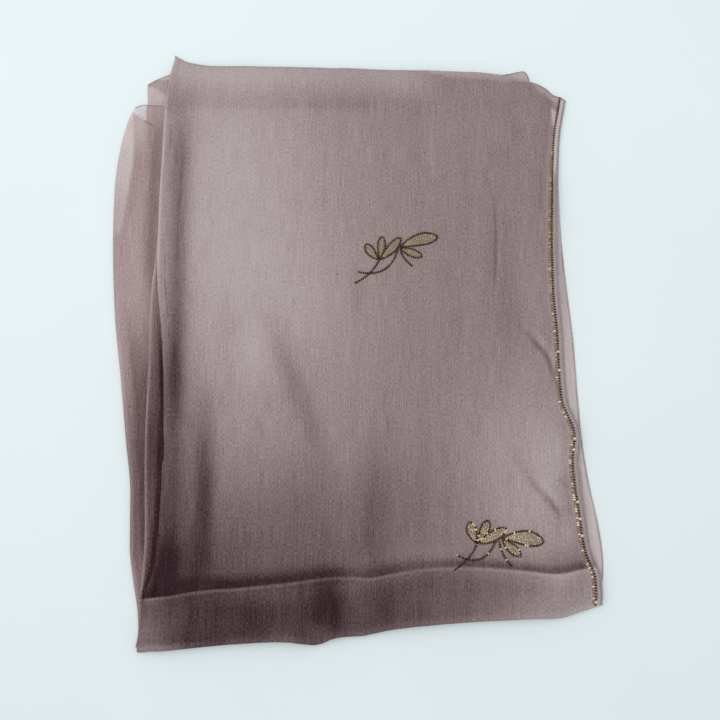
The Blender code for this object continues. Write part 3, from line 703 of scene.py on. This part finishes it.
def buildLeftOuter():
    def high(x):
        return 213 - 2.2 * ease(-x, 188, 197)

    node = "left_outer_stretch"

    def inside(x, y):
        return (x > outerLeft(y) + 2.2) & (x < leftFold(y) + 7.5) & (y < high(x) - 2.0) & (y > -254.5)

    readTop, readBottom = heightMap(node, inside, 3.0), heightMap(node, inside, 3.0, below=True)
    closerToTop = 1 - np.linspace(1, 0, 192)[1:-1] ** 1.5
    x, y = edgeGrid(outerLeft, shifted(leftFold, 7.0), level(underCloth["leftOuterFoot"]), high,
                    fromEnds((0, 0.8), (0, 0.3, 0.8, 1.6), closerToTop), fromEnds((0, 0.12, 0.4, 0.9, 1.6), (0,), 34))
    outer, inner = x - outerLeft(y), leftFold(y) - x
    edge = np.minimum(outer, high(x) - y)
    rib = 9 + 3 * np.sin(y / 60)
    crinkle = crinkled(x, y, underCloth["outerCrinkle"]) * ease(edge, 0, 4)
    innerFold = 0.7 * bump(outer, rib, 3.0) * ease(-y, 60, 130)
    turned = y - 205.5 + 0.70 * (x + 194.6)
    corner = ease(turned, -0.3, 0.3) * ease(-x, 183.6, 184.6)
    single = ease(leftInner(y) - x, -0.5, 0.5) * ease(y, 88, 100)
    sheer = 0.40 * ease(y, 160, 195) * (1 - ease(x, -188, -180)) + (0.42 + 0.34 * ease(y, 112, 150)) * single
    sheer = np.maximum(sheer, 1.8 * corner)
    seam = 0.30 * bump(turned, -0.8, 1.0) * ease(-x, 172, 180) + 0.10 * bump(y, 150, 40) * ease(-x, 196, 204)
    # painted shade beside the uppermost stretch's fold
    beside = 0.32 * bump(inner, 6.5, 6.5) * ease(y, 15, 70) * ease(220 - y, 0, 60)
    gather = 0.10 * bump(x - leftInner(y), 5, 4.5) * ease(y, 96, 122) * (1 - ease(y, 158, 186))
    beside = beside + gather * (1 - single)
    # tone, darker towards the front, with painted highlights along the rib and the outer rim and painted shade just
    # under the fold's edge
    front = ease(-y, -50, 60)
    depth = 0.20 + beside + seam + front * 0.54 - 0.10 * bump(outer, rib, 2.5) * front
    depth = depth + 0.20 * ease(3 - inner, 0, 6) * ease(-y, -60, 0) - 0.34 * (1 - ease(outer, 1.0, 6)) * front
    depth = depth - 0.12 * bump(y, 0, 46) * (1 - ease(outer, 3, 12)) + 0.05 * ease(-y, 60, 120)
    depth = depth - 0.20 * bump(y, -204, 24) * (1 - ease(x, -173, -170))
    depth = depth - 0.20 * bump(y, -36, 34) * (1 - ease(outer, 6, 13))
    return doubled("leftOuterStretch", node, x, y, readTop, readBottom, edge, 1.6, sheer, depth, crinkle + innerFold)


def buildLeftRoll():
    node = "left_roll_stretch"
    right = shifted(leftFold, 2.3)
    low, high = underCloth["leftRollEnds"]

    def inside(x, y):
        return (x > rollEdge(y) + 0.8) & (x < leftFold(y) + 1.8) & (y < 95) & (y > -215.5)

    readTop, readBottom = heightMap(node, inside, 1.4), heightMap(node, inside, 1.4, below=True)
    x, y = edgeGrid(rollEdge, right, level(low), level(high), fromEnds((0, 0.7, 2), (0, 0.7, 2), 130),
                    [(s, 0.0) for s in 0.5 - 0.5 * np.cos(np.linspace(0, math.pi, 22))])
    edge = np.minimum(np.minimum(x - rollEdge(y), right(y) - x), np.minimum(high - y, y - low))
    inner = leftFold(y) - x
    # tone, darker towards the front, with painted shade beside and under the uppermost stretch's fold and a painted
    # highlight along the roll's crest at its left edge
    depth = 0.38 + 0.05 * bump(y, -94, 26) + 0.35 * ease(-y, -66, 34) + 0.08 * ease(-y, 20, 100)
    depth = depth + 0.14 * ease(7.5 - inner, 0, 6.5)
    depth = depth + 0.15 * ease(3.8 - inner, 0, 2.4) * ease(-y, -30, 40)
    depth = depth - (0.30 + 0.08 * ease(-y, -60, 90)) * bump(x - rollEdge(y), 1.3, 1.5)
    return doubled("leftRollStretch", node, x, y, readTop, readBottom, edge, 1.2, 0 * x, np.clip(depth, 0, 1),
                   crinkled(x, y, underCloth["rollCrinkle"]) * ease(edge, 0, 2))


innerRight = curveThrough((
    (130, 183.4), (80, 184.2), (40, 185.0), (5, 186.6), (-23, 187.3), (-50, 188.6), (-71, 191.6),
    (-103, 194.0), (-131, 195.2), (-153, 197.6), (-169, 199.6), (-183, 202.6), (-215, 205.4),
))


def buildRight(name, node, edgeCurve, ends, seed, sheerHere):
    low, high = ends
    left = shifted(hemEdge, -9.0)

    def inside(x, y):
        return (x > left(y) + 0.3) & (x < edgeCurve(y) - 1.9) & (y > low + 1.5) & (y < high - 1.5)

    readTop = heightMap(node, inside, 3.0)
    x, y = edgeGrid(left, edgeCurve, level(low), level(high), fromEnds((0, 0.8), (0, 0.8), 150),
                    fromEnds((0,), (0, 0.3, 0.8), 20))
    edge = edgeCurve(y) - x
    z = readTop(x, y) - 0.9 * (1 - ease(edge, 0, 5)) + 0.15 * softNoise(x, y, 4, 20, seed)
    z = np.maximum(z + 0.3 * softNoise(x, y, 9, 13, seed + 1) * ease(7 - edge, 0, 7), underCloth["floor"] + 0.4)
    # a painted shadow in the narrow slit beside the hem
    slitShadow = 0.5 * bump(x - hemEdge(y), 1.4, 1.3) * bump(y, -117, 20)
    sheer = (sheerHere + 0.16 * ease(-y, 40, 120)) * (1 - slitShadow) * (1 - 0.7 * bump(y, 55, 44))
    return singleLayer(name, node, x, y, z, sheer, 0.04 + slitShadow + 0.06 * ease(y, -20, 60))


def buildBackTop():
    leftEnd, rightEnd = (level(x) for x in underCloth["backTopEnds"])
    low = shifted(upperEdge, -5.4)

    def high(x):
        return np.maximum(backTop(x), low(x) + 2.0)

    x, y = edgeGrid(leftEnd, rightEnd, low, high, fromEnds((0,), (0, 0.5, 1.2), 8), fromEnds((0, 1), (0, 1), 60))
    z = 0.5 + 0.25 * (1 + softNoise(x, y, 8, 6, 51))
    return singleLayer("backTopStretch", "back_top_stretch", x, y, z, 0.30, 0.14)


leftCornerPiece = buildLeftCorner()
leftOuterPiece = buildLeftOuter()
leftRollPiece = buildLeftRoll()
rightOuterPiece = buildRight("rightOuterStretch", "right_outer_stretch", outerRight, underCloth["rightOuterEnds"],
                             61, 0.66)
rightInnerPiece = buildRight("rightInnerStretch", "right_inner_stretch", innerRight, underCloth["rightInnerEnds"],
                             65, 0.72)
backTopPiece = buildBackTop()
print("lower stretches laid")


# what follows a line: hems, stitches, beads and thread
def lineMesh(name, lines, closed=False):
    points, edges = [], []
    for line in lines:
        first = len(points)
        points += [tuple(np.array(p) * mm) for p in line]
        edges += [(first + k, first + k + 1) for k in range(len(line) - 1)]
        if closed:
            edges.append((len(points) - 1, first))
    mesh = bpy.data.meshes.new(name)
    mesh.from_pydata(points, edges, [])
    return mesh


class GeometryTree(NodeTree):
    def __init__(self, name, sockets):
        self.tree = bpy.data.node_groups.new(name, "GeometryNodeTree")
        face = self.tree.interface
        face.new_socket("Line", in_out="INPUT", socket_type="NodeSocketGeometry")
        self.keys = {}
        for label, kind in sockets:
            self.keys[label] = face.new_socket(label, in_out="INPUT", socket_type=kind).identifier
        face.new_socket("Made", in_out="OUTPUT", socket_type="NodeSocketGeometry")
        self.start = self.tree.nodes.new("NodeGroupInput")
        self.end = self.tree.nodes.new("NodeGroupOutput")

    def given(self, label):
        return self.start.outputs[label]

    def finished(self, geometry):
        real = self.add("GeometryNodeRealizeInstances", Geometry=geometry)
        done = self.add("GeometryNodeSetMaterial", Geometry=real.outputs[0], Material=self.given("Finish"))
        self.tree.links.new(done.outputs[0], self.end.inputs[0])
        return self


def beadsTree():
    g = GeometryTree("beadsAlongLine", [
        ("Bead", "NodeSocketObject"), ("Spacing", "NodeSocketFloat"), ("Size variation", "NodeSocketFloat"),
        ("Tilt", "NodeSocketFloat"), ("Seed", "NodeSocketInt"), ("Finish", "NodeSocketMaterial"),
    ])
    curve = g.add("GeometryNodeMeshToCurve", Mesh=g.given("Line"))
    dots = g.add("GeometryNodeCurveToPoints", {"mode": "LENGTH"}, Curve=curve.outputs[0], Length=g.given("Spacing"))
    heading = g.add("FunctionNodeAlignRotationToVector", {"axis": "X", "pivot_axis": "Z"},
                    Vector=dots.outputs["Tangent"])
    spin = g.add("FunctionNodeAxisAngleToRotation", Angle=g.given("Tilt"))
    turned = g.add("FunctionNodeRotateRotation", {"rotation_space": "LOCAL"}, Rotation=heading.outputs[0],
                   **{"Rotate By": spin.outputs[0]})
    size = g.add("FunctionNodeRandomValue", {"data_type": "FLOAT"}, Seed=g.given("Seed"))
    for bound, operation in ((2, "SUBTRACT"), (3, "ADD")):  # from 1 less the variation to 1 and the variation
        share = g.add("ShaderNodeMath", {"operation": operation}, i0=1.0, i1=g.given("Size variation"))
        g.feed(size.inputs[bound], share.outputs[0])
    bead = g.add("GeometryNodeObjectInfo", Object=g.given("Bead"))
    placedBeads = g.add("GeometryNodeInstanceOnPoints", Points=dots.outputs["Points"],
                        Instance=bead.outputs["Geometry"], Rotation=turned.outputs[0], Scale=size.outputs[1])
    tone = g.add("FunctionNodeRandomValue", {"data_type": "FLOAT"}, Seed=g.given("Seed"))
    stored = g.add("GeometryNodeStoreNamedAttribute", {"data_type": "FLOAT", "domain": "INSTANCE"},
                   Geometry=placedBeads.outputs[0], Name="tone", Value=tone.outputs[1])
    return g.finished(stored.outputs[0])


def threadTree():
    g = GeometryTree("threadAlongLine", [
        ("Thickness", "NodeSocketFloat"), ("Sides", "NodeSocketInt"), ("Finish", "NodeSocketMaterial"),
    ])
    curve = g.add("GeometryNodeMeshToCurve", Mesh=g.given("Line"))
    ring = g.add("GeometryNodeCurvePrimitiveCircle", Resolution=g.given("Sides"), Radius=g.given("Thickness"))
    tube = g.add("GeometryNodeCurveToMesh", Curve=curve.outputs[0],
                 **{"Profile Curve": ring.outputs["Curve"], "Fill Caps": True})
    return g.finished(g.add("GeometryNodeSetShadeSmooth", Geometry=tube.outputs[0]).outputs[0])


beadTree, tubeTree = beadsTree(), threadTree()


def grown(name, lines, tree, values, closed=False):  # runs a tree on lines and keeps the plain mesh
    carrier = linkedMesh(name + "Line", lineMesh(name + "Line", lines, closed))
    modifier = carrier.modifiers.new("grow", "NODES")
    modifier.node_group = tree.tree
    for label, value in values.items():
        modifier[tree.keys[label]] = value
    bpy.context.view_layer.update()
    depsgraph = bpy.context.evaluated_depsgraph_get()
    mesh = bpy.data.meshes.new_from_object(carrier.evaluated_get(depsgraph))
    carrier.modifiers.remove(modifier)
    bpy.data.objects.remove(carrier)
    mesh.name = name
    piece = linkedMesh(name, mesh)
    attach(piece, "root")
    return piece


def beadShape(name, length, width, height, rings=5, sides=8):  # a small closed bead, lying along x
    points, faces = [(-length / 2, 0, 0)], []
    for r in range(1, rings):
        a = math.pi * r / rings
        fat = math.sin(a) ** 0.6
        for k in range(sides):
            b = 2 * math.pi * k / sides
            points.append((-length / 2 * math.cos(a), width / 2 * fat * math.cos(b), height / 2 * fat * math.sin(b)))
    points.append((length / 2, 0, 0))
    last = len(points) - 1
    for k in range(sides):
        n = (k + 1) % sides
        faces.append((0, 1 + n, 1 + k))
        for r in range(rings - 2):
            a, b = 1 + r * sides, 1 + (r + 1) * sides
            faces.append((a + k, a + n, b + n, b + k))
        faces.append((last, 1 + (rings - 2) * sides + k, 1 + (rings - 2) * sides + n))
    mesh = bpy.data.meshes.new(name)
    mesh.from_pydata([tuple(c * mm for c in p) for p in points], [], faces)
    mesh.shade_smooth()
    return linkedMesh(name, mesh)


beadBorder = {"spacing": 2.3, "goldSpacing": 1.9, "goldAside": -2.0, "ends": (-221.5, 220.4), "goldEnd": 168}
roundBead = beadShape("seedBead", 1.5, 2.2, 1.4)
goldBead = beadShape("goldSeedBead", 1.35, 2.4, 1.1, 4, 7)
sprigBead = beadShape("sprigBead", 1.35, 2.1, 1.2, 4, 7)
fillBead = beadShape("fillBead", 1.0, 0.9, 0.55, 3, 5)
stitchShape = beadShape("stitch", 2.1, 0.42, 0.42, 4, 6)
endStitchShape = beadShape("endStitch", 1.5, 1.15, 0.6, 4, 6)


def onTop(x, y, lift):
    return np.stack([x, y, topHeight(x, y) + lift], axis=-1)


def threaded(name, lines, thickness, finish, sides=5):
    return grown(name, lines, tubeTree, {"Thickness": thickness * mm, "Sides": sides, "Finish": finish})


def beaded(name, lines, bead, spacing, seed, finish, closed=False, tilt=0.0, variation=0.13):
    return grown(name, lines, beadTree, {
        "Bead": bead, "Spacing": spacing * mm, "Size variation": variation, "Tilt": math.radians(tilt), "Seed": seed,
        "Finish": finish}, closed)


alongBorder = np.linspace(*beadBorder["ends"], 420)
alongGold = np.linspace(beadBorder["ends"][0], beadBorder["goldEnd"], 380)
goldAside = beadBorder["goldAside"] * (0.55 + 0.45 * ease(-alongGold, -165, -100))
darkRow = beaded("beadBorder", [onTop(beadLine(alongBorder) + 0.3, alongBorder, 0.55)], roundBead,
                 beadBorder["spacing"], 5, darkBeads)
goldRow = beaded("goldBeadRow", [onTop(beadLine(alongGold) + goldAside, alongGold, 0.4)], goldBead,
                 beadBorder["goldSpacing"], 6, goldBeads)
borderCord = threaded("borderCord", [onTop(beadLine(alongGold) + goldAside, alongGold, 0.15)], 0.5, cordThread)
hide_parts("bead_trim")
print("bead border sewn")

# leaf sprigs of beads and metal thread
sprigLook = {
    # hub, turn in degrees, fullness, spacing of the beads inside the leaves and of the glints at their sides
    "Upper": ((42.0, 79.5), 0.0, 1.0, 2.2, 2.6),
    "Lower": ((124.6, -167.2), -21.0, 1.12, 1.5, 1.7),
    "beadSpacing": 1.85,
    "cord": 0.42,
    "thread": 0.3,
    "shadeThread": 0.26,
}
# Columns: foot x, foot y, length, heading in degrees, half width, bend, how slender its foot is.
sprigLeaves = (
    (0.3, 0.3, 34.0, 15.5, 5.2, 0.10, 1.5),
    (0.6, -0.8, 20.0, -21.0, 3.2, -0.04, 1.35),
    (-18.2, -11.4, 17.6, 128.0, 3.5, 0.08, 1.6),
    (-17.6, -10.6, 20.0, 83.0, 3.2, -0.06, 1.6),
    (-16.8, -10.8, 26.0, 47.5, 3.7, -0.06, 1.3),
)
# Beaded stems of the upper and the lower sprig, each a start, a point that it bends towards, and an end.
sprigStems = (
    (
        ((-18.0, -12.0), (-24.0, -24.5), (-38.0, -31.5)),
        ((-1.6, -2.6), (-9.0, -28.0), (-35.2, -22.0)),
        ((0.8, -2.6), (3.0, -11.0), (10.6, -16.4)),
    ),
    (
        ((-17.6, -13.6), (-18.6, -27.0), (-27.6, -37.4)),
        ((-3.8, -4.8), (-5.6, -30.0), (-29.6, -26.0)),
        ((-0.8, -3.8), (3.4, -12.4), (14.4, -18.2)),
    ),
)


def turnedAbout(points, place, degrees):
    a = math.radians(degrees)
    x = points[:, 0] * math.cos(a) - points[:, 1] * math.sin(a) + place[0]
    y = points[:, 0] * math.sin(a) + points[:, 1] * math.cos(a) + place[1]
    return x, y


def leafPoint(leaf, t, side):  # t from foot to tip, side from -1 to 1 across
    fx, fy, length, heading, halfWidth, bend, slender = leaf
    a = math.radians(heading)
    width = halfWidth * np.sin(np.pi * np.clip(t, 0, 1) ** slender) ** 0.6
    alongLeaf = length * t
    aside = side * width + bend * length * np.sin(np.pi * t) * 0.5
    return np.stack([fx + alongLeaf * math.cos(a) - aside * math.sin(a),
                     fy + alongLeaf * math.sin(a) + aside * math.cos(a)], axis=-1)


def sprigLines(place, turn, full, beadedStems):
    def lay(points, lift):
        return onTop(*turnedAbout(points, place, turn), lift)

    outlines, fills, stems, glints = [], [], [], []
    for leaf in sprigLeaves:
        leaf = (*leaf[:4], leaf[4] * full, *leaf[5:])
        t = 0.5 - 0.5 * np.cos(np.linspace(0, np.pi, 50))
        t = np.concatenate([t, t[::-1][1:-1]])
        side = np.concatenate([np.ones(50), -np.ones(48)])
        outlines.append(lay(leafPoint(leaf, t, side), 0.45))
        for f in (-0.72, 0.72):
            t = np.linspace(0.16, 0.95, 30)
            glints.append(lay(leafPoint(leaf, t, f + 0 * t), 0.42))
        rows = max(2, round(leaf[4] * 1.5))
        for f in np.linspace(-0.66, 0.66, rows):
            t = np.linspace(0.10 + 0.14 * abs(f), 0.93 - 0.06 * abs(f), 26)
            fills.append(lay(leafPoint(leaf, t, f + 0 * t), 0.26))
    for a, b, c in beadedStems:
        t = np.linspace(0, 1, 40)[:, None]
        points = np.array(a) * (1 - t) ** 2 + 2 * np.array(b) * t * (1 - t) + np.array(c) * t * t
        stems.append(lay(points, 0.45))
    return outlines, fills, stems, glints


def sunk(lines, depth):
    return [line - np.array([0, 0, depth]) for line in lines]


sprigPieces = []
for k, side in enumerate(("Upper", "Lower")):
    place, turn, full, fillSpacing, glintSpacing = sprigLook[side]
    outlines, fills, stems, glints = sprigLines(place, turn, full, sprigStems[k])
    spacing = sprigLook["beadSpacing"]
    sprigPieces += [
        beaded(f"sprigLeaves{side}", outlines, sprigBead, spacing, 20 + k, sprigBeads, closed=True),
        beaded(f"sprigStems{side}", stems, sprigBead, spacing, 30 + k, stemBeads),
        beaded(f"sprigFill{side}", fills, fillBead, fillSpacing, 40 + k, goldBeads),
        beaded(f"sprigGlints{side}", glints, fillBead, glintSpacing, 50 + k, goldBeads),
        threaded(f"sprigThread{side}", sunk(fills[::2], 0.1), sprigLook["thread"], goldThread),
        threaded(f"sprigShade{side}", sunk(fills[1::2], 0.12), sprigLook["shadeThread"], fillThread),
        threaded(f"sprigCord{side}", sunk((*outlines, *stems), 0.3), sprigLook["cord"], cordThread),
    ]
print("sprigs sewn")

# hems
hemLook = {
    "beadedEdge": 0.85,  # how thick each rolled hem is
    "plainEdge": 0.6,
    "rightOuter": 0.55,
    "narrow": 0.5,
    "corners": 0.45,
    "stitchTurn": 62,
}


def hemAlong(name, line, width, material=hemThread):
    return threaded(name, [line], hemLook[width], material, sides=7)


def stitchesAlong(name, line, spacing, tilt, seed, material=pinkThread, shape=stitchShape):
    return beaded(name, [line], shape, spacing, seed, material, tilt=tilt, variation=0.15)


yHem = np.linspace(-221.5, 217.8, 300)


def surfaceHeight(piece, x, y):  # how high a laid stretch lies at plan points, in millimetres
    tree, heights = rayTree(piece.data), []
    for a, b in zip(x, y):
        hit = tree.ray_cast(Vector((a * mm, b * mm, 0.05)), Vector((0, 0, -1)))[0]
        heights.append(hit.z / mm if hit else 0.5)
    return np.array(heights)


topHem = hemAlong("beadedEdgeHem", onTop(hemEdge(yHem) - 0.4, yHem, 0.3), "beadedEdge")
xUpper = np.linspace(-159.5, 70, 180)
upperHem = hemAlong("upperHem", onTop(xUpper, upperEdge(xUpper) - 0.5, 0.05), "plainEdge", paleHemThread)
xShoulder = np.linspace(161.6, 191.8, 60)
shoulderHem = hemAlong("shoulderHem", onTop(xShoulder, upperEdge(xShoulder) - 0.5, 0.05), "plainEdge")
yOut = np.linspace(-217, 149.5, 220)
zOut = 0.62 + 0.1 * softNoise(yOut, yOut, 9, 9, 71)
outerHem = hemAlong("rightOuterHem", stacked(outerRight(yOut) - 0.5, yOut, zOut), "rightOuter", paleHemThread)
yIn = np.linspace(-213.5, 126.5, 200)
innerHem = hemAlong("rightInnerHem", stacked(innerRight(yIn) - 0.3, yIn, 1.25), "narrow", paleHemThread)
xLeft = np.linspace(-194.2, -168.5, 40)
yLeft = 212.4 - 2.2 * ease(-xLeft, 188, 197)
zLeft = surfaceHeight(leftOuterPiece, xLeft, yLeft - 0.9)
leftHem = hemAlong("leftEndHem", stacked(xLeft, yLeft, zLeft - 0.05), "narrow", roseHemThread)
cornerLine = np.linspace(-184.2, -164.0, 30)
cornerHem = hemAlong("leftCornerHem", stacked(cornerLine, leftCorner(cornerLine) - 0.3, 0.75), "corners")
backLine = np.linspace(64, 161, 76)
backEdge = np.maximum(backTop(backLine), upperEdge(backLine) - 3.4) - 0.3
backHem = hemAlong("backTopHem", stacked(backLine, backEdge, 0.8), "corners")
hemStitches = [
    stitchesAlong("beadedEdgeStitches", onTop(hemEdge(yHem) - 0.5, yHem, 0.42), 2.3, hemLook["stitchTurn"], 81,
                  hemThread),
    stitchesAlong("rightOuterStitches", stacked(outerRight(yOut) - 0.5, yOut, zOut + 0.5), 2.4,
                  hemLook["stitchTurn"], 82),
    stitchesAlong("leftEndStitches", stacked(xLeft, yLeft, zLeft + 0.45), 2.7, 8, 83, stitchThread, endStitchShape),
]
for helper in (roundBead, goldBead, sprigBead, fillBead, stitchShape, endStitchShape):
    bpy.data.objects.remove(helper)
print("hems stitched")

# the hidden layers
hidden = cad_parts["hidden_layers"]


def hiddenMaterial():
    n = Nodes("foldedMauveLayers")
    place = n.place()

    def drawnOut(scale, *details):
        return n.noise(n.add("ShaderNodeMapping", Vector=place, Scale=scale).outputs[0], 1.0, *details)

    lines, layers = drawnOut((420.0, 14.0, 60.0), 3.0, 0.6, 0.2), drawnOut((6.0, 6.0, 2600.0), 1.0)
    tone = n.plus(n.times(lines, 0.55), n.times(layers, 0.45))
    return n.finish({
        "Base Color": n.mix(n.span(tone, 0.36, 0.66), (0.10, 0.062, 0.068), (0.30, 0.225, 0.222)),
        "Roughness": n.span(lines, 0.3, 0.7, 0.6, 0.75),
        "Normal": n.add("ShaderNodeBump", Height=tone, Strength=0.8, Distance=0.0006).outputs[0],
    })


hidden.data.materials.clear()
hidden.data.materials.append(hiddenMaterial())

# floor, light and camera
studio = {
    "floor": (0.80, 0.88, 0.90),
    "world": (0.97, 0.985, 1.0),
    "worldStrength": 0.74,
    "keyPlace": (-0.28, 0.18, 1.12),
    "keySize": (1.3, 1.3),
    "keyPower": 4.3,
    "lookAt": (0.00775, -0.0177, 0.0),
    "tilt": 8.0,
    "distance": 0.69,
    "lens": 40.0,
}


def floorMaterial():
    n = Nodes("paleFloor")
    place = n.place()
    # painted light falloff: the floor is drawn paler towards the back and darker towards the front, with cloudy noise
    paintedFalloff = n.span(n.add("ShaderNodeSeparateXYZ", i0=place).outputs[1], -0.30, 0.30, 0.25, 0.60)
    cloudsAndPaintedFalloff = n.plus(n.times(n.noise(place, 7.0, 3.0), 0.25), paintedFalloff)
    return n.finish({
        "Base Color": n.mix(cloudsAndPaintedFalloff, *([min(1.0, c * share) for c in studio["floor"]] for share in (0.96, 1.12))),
        "Roughness": 0.7,
    })


floorMesh = bpy.data.meshes.new("paleFloor")
floorMesh.from_pydata([(-3, -3, -0.0004), (3, -3, -0.0004), (3, 3, -0.0004), (-3, 3, -0.0004)], [], [(0, 1, 2, 3)])
floor = linkedMesh("paleFloor", floorMesh)
floorMesh.materials.append(floorMaterial())

world = bpy.data.worlds.new("studioWorld")
world.use_nodes = True
world.node_tree.nodes["Background"].inputs[0].default_value = colour(studio["world"])
world.node_tree.nodes["Background"].inputs[1].default_value = studio["worldStrength"]
bpy.context.scene.world = world

lamp = bpy.data.lights.new("windowLight", "AREA")
lamp.shape = "RECTANGLE"
lamp.size, lamp.size_y = studio["keySize"]
lamp.energy = studio["keyPower"]
lamp.color = (1.0, 0.99, 0.97)
lampObject = bpy.data.objects.new("windowLight", lamp)
lampObject.location = studio["keyPlace"]
lampObject.rotation_euler = (-Vector(studio["keyPlace"])).to_track_quat("-Z", "Y").to_euler()
bpy.context.scene.collection.objects.link(lampObject)

tilt = math.radians(studio["tilt"])
camera = bpy.data.cameras.new("camera")
camera.lens = studio["lens"]
camera.sensor_width = 36.0
cameraObject = bpy.data.objects.new("camera", camera)
back = Vector((0, -math.sin(tilt), math.cos(tilt)))
cameraObject.location = Vector(studio["lookAt"]) + back * studio["distance"]
cameraObject.rotation_euler = (tilt, 0, 0)
bpy.context.scene.collection.objects.link(cameraObject)
bpy.context.scene.camera = cameraObject
bpy.context.scene.view_settings.view_transform = "Standard"
print("studio ready")
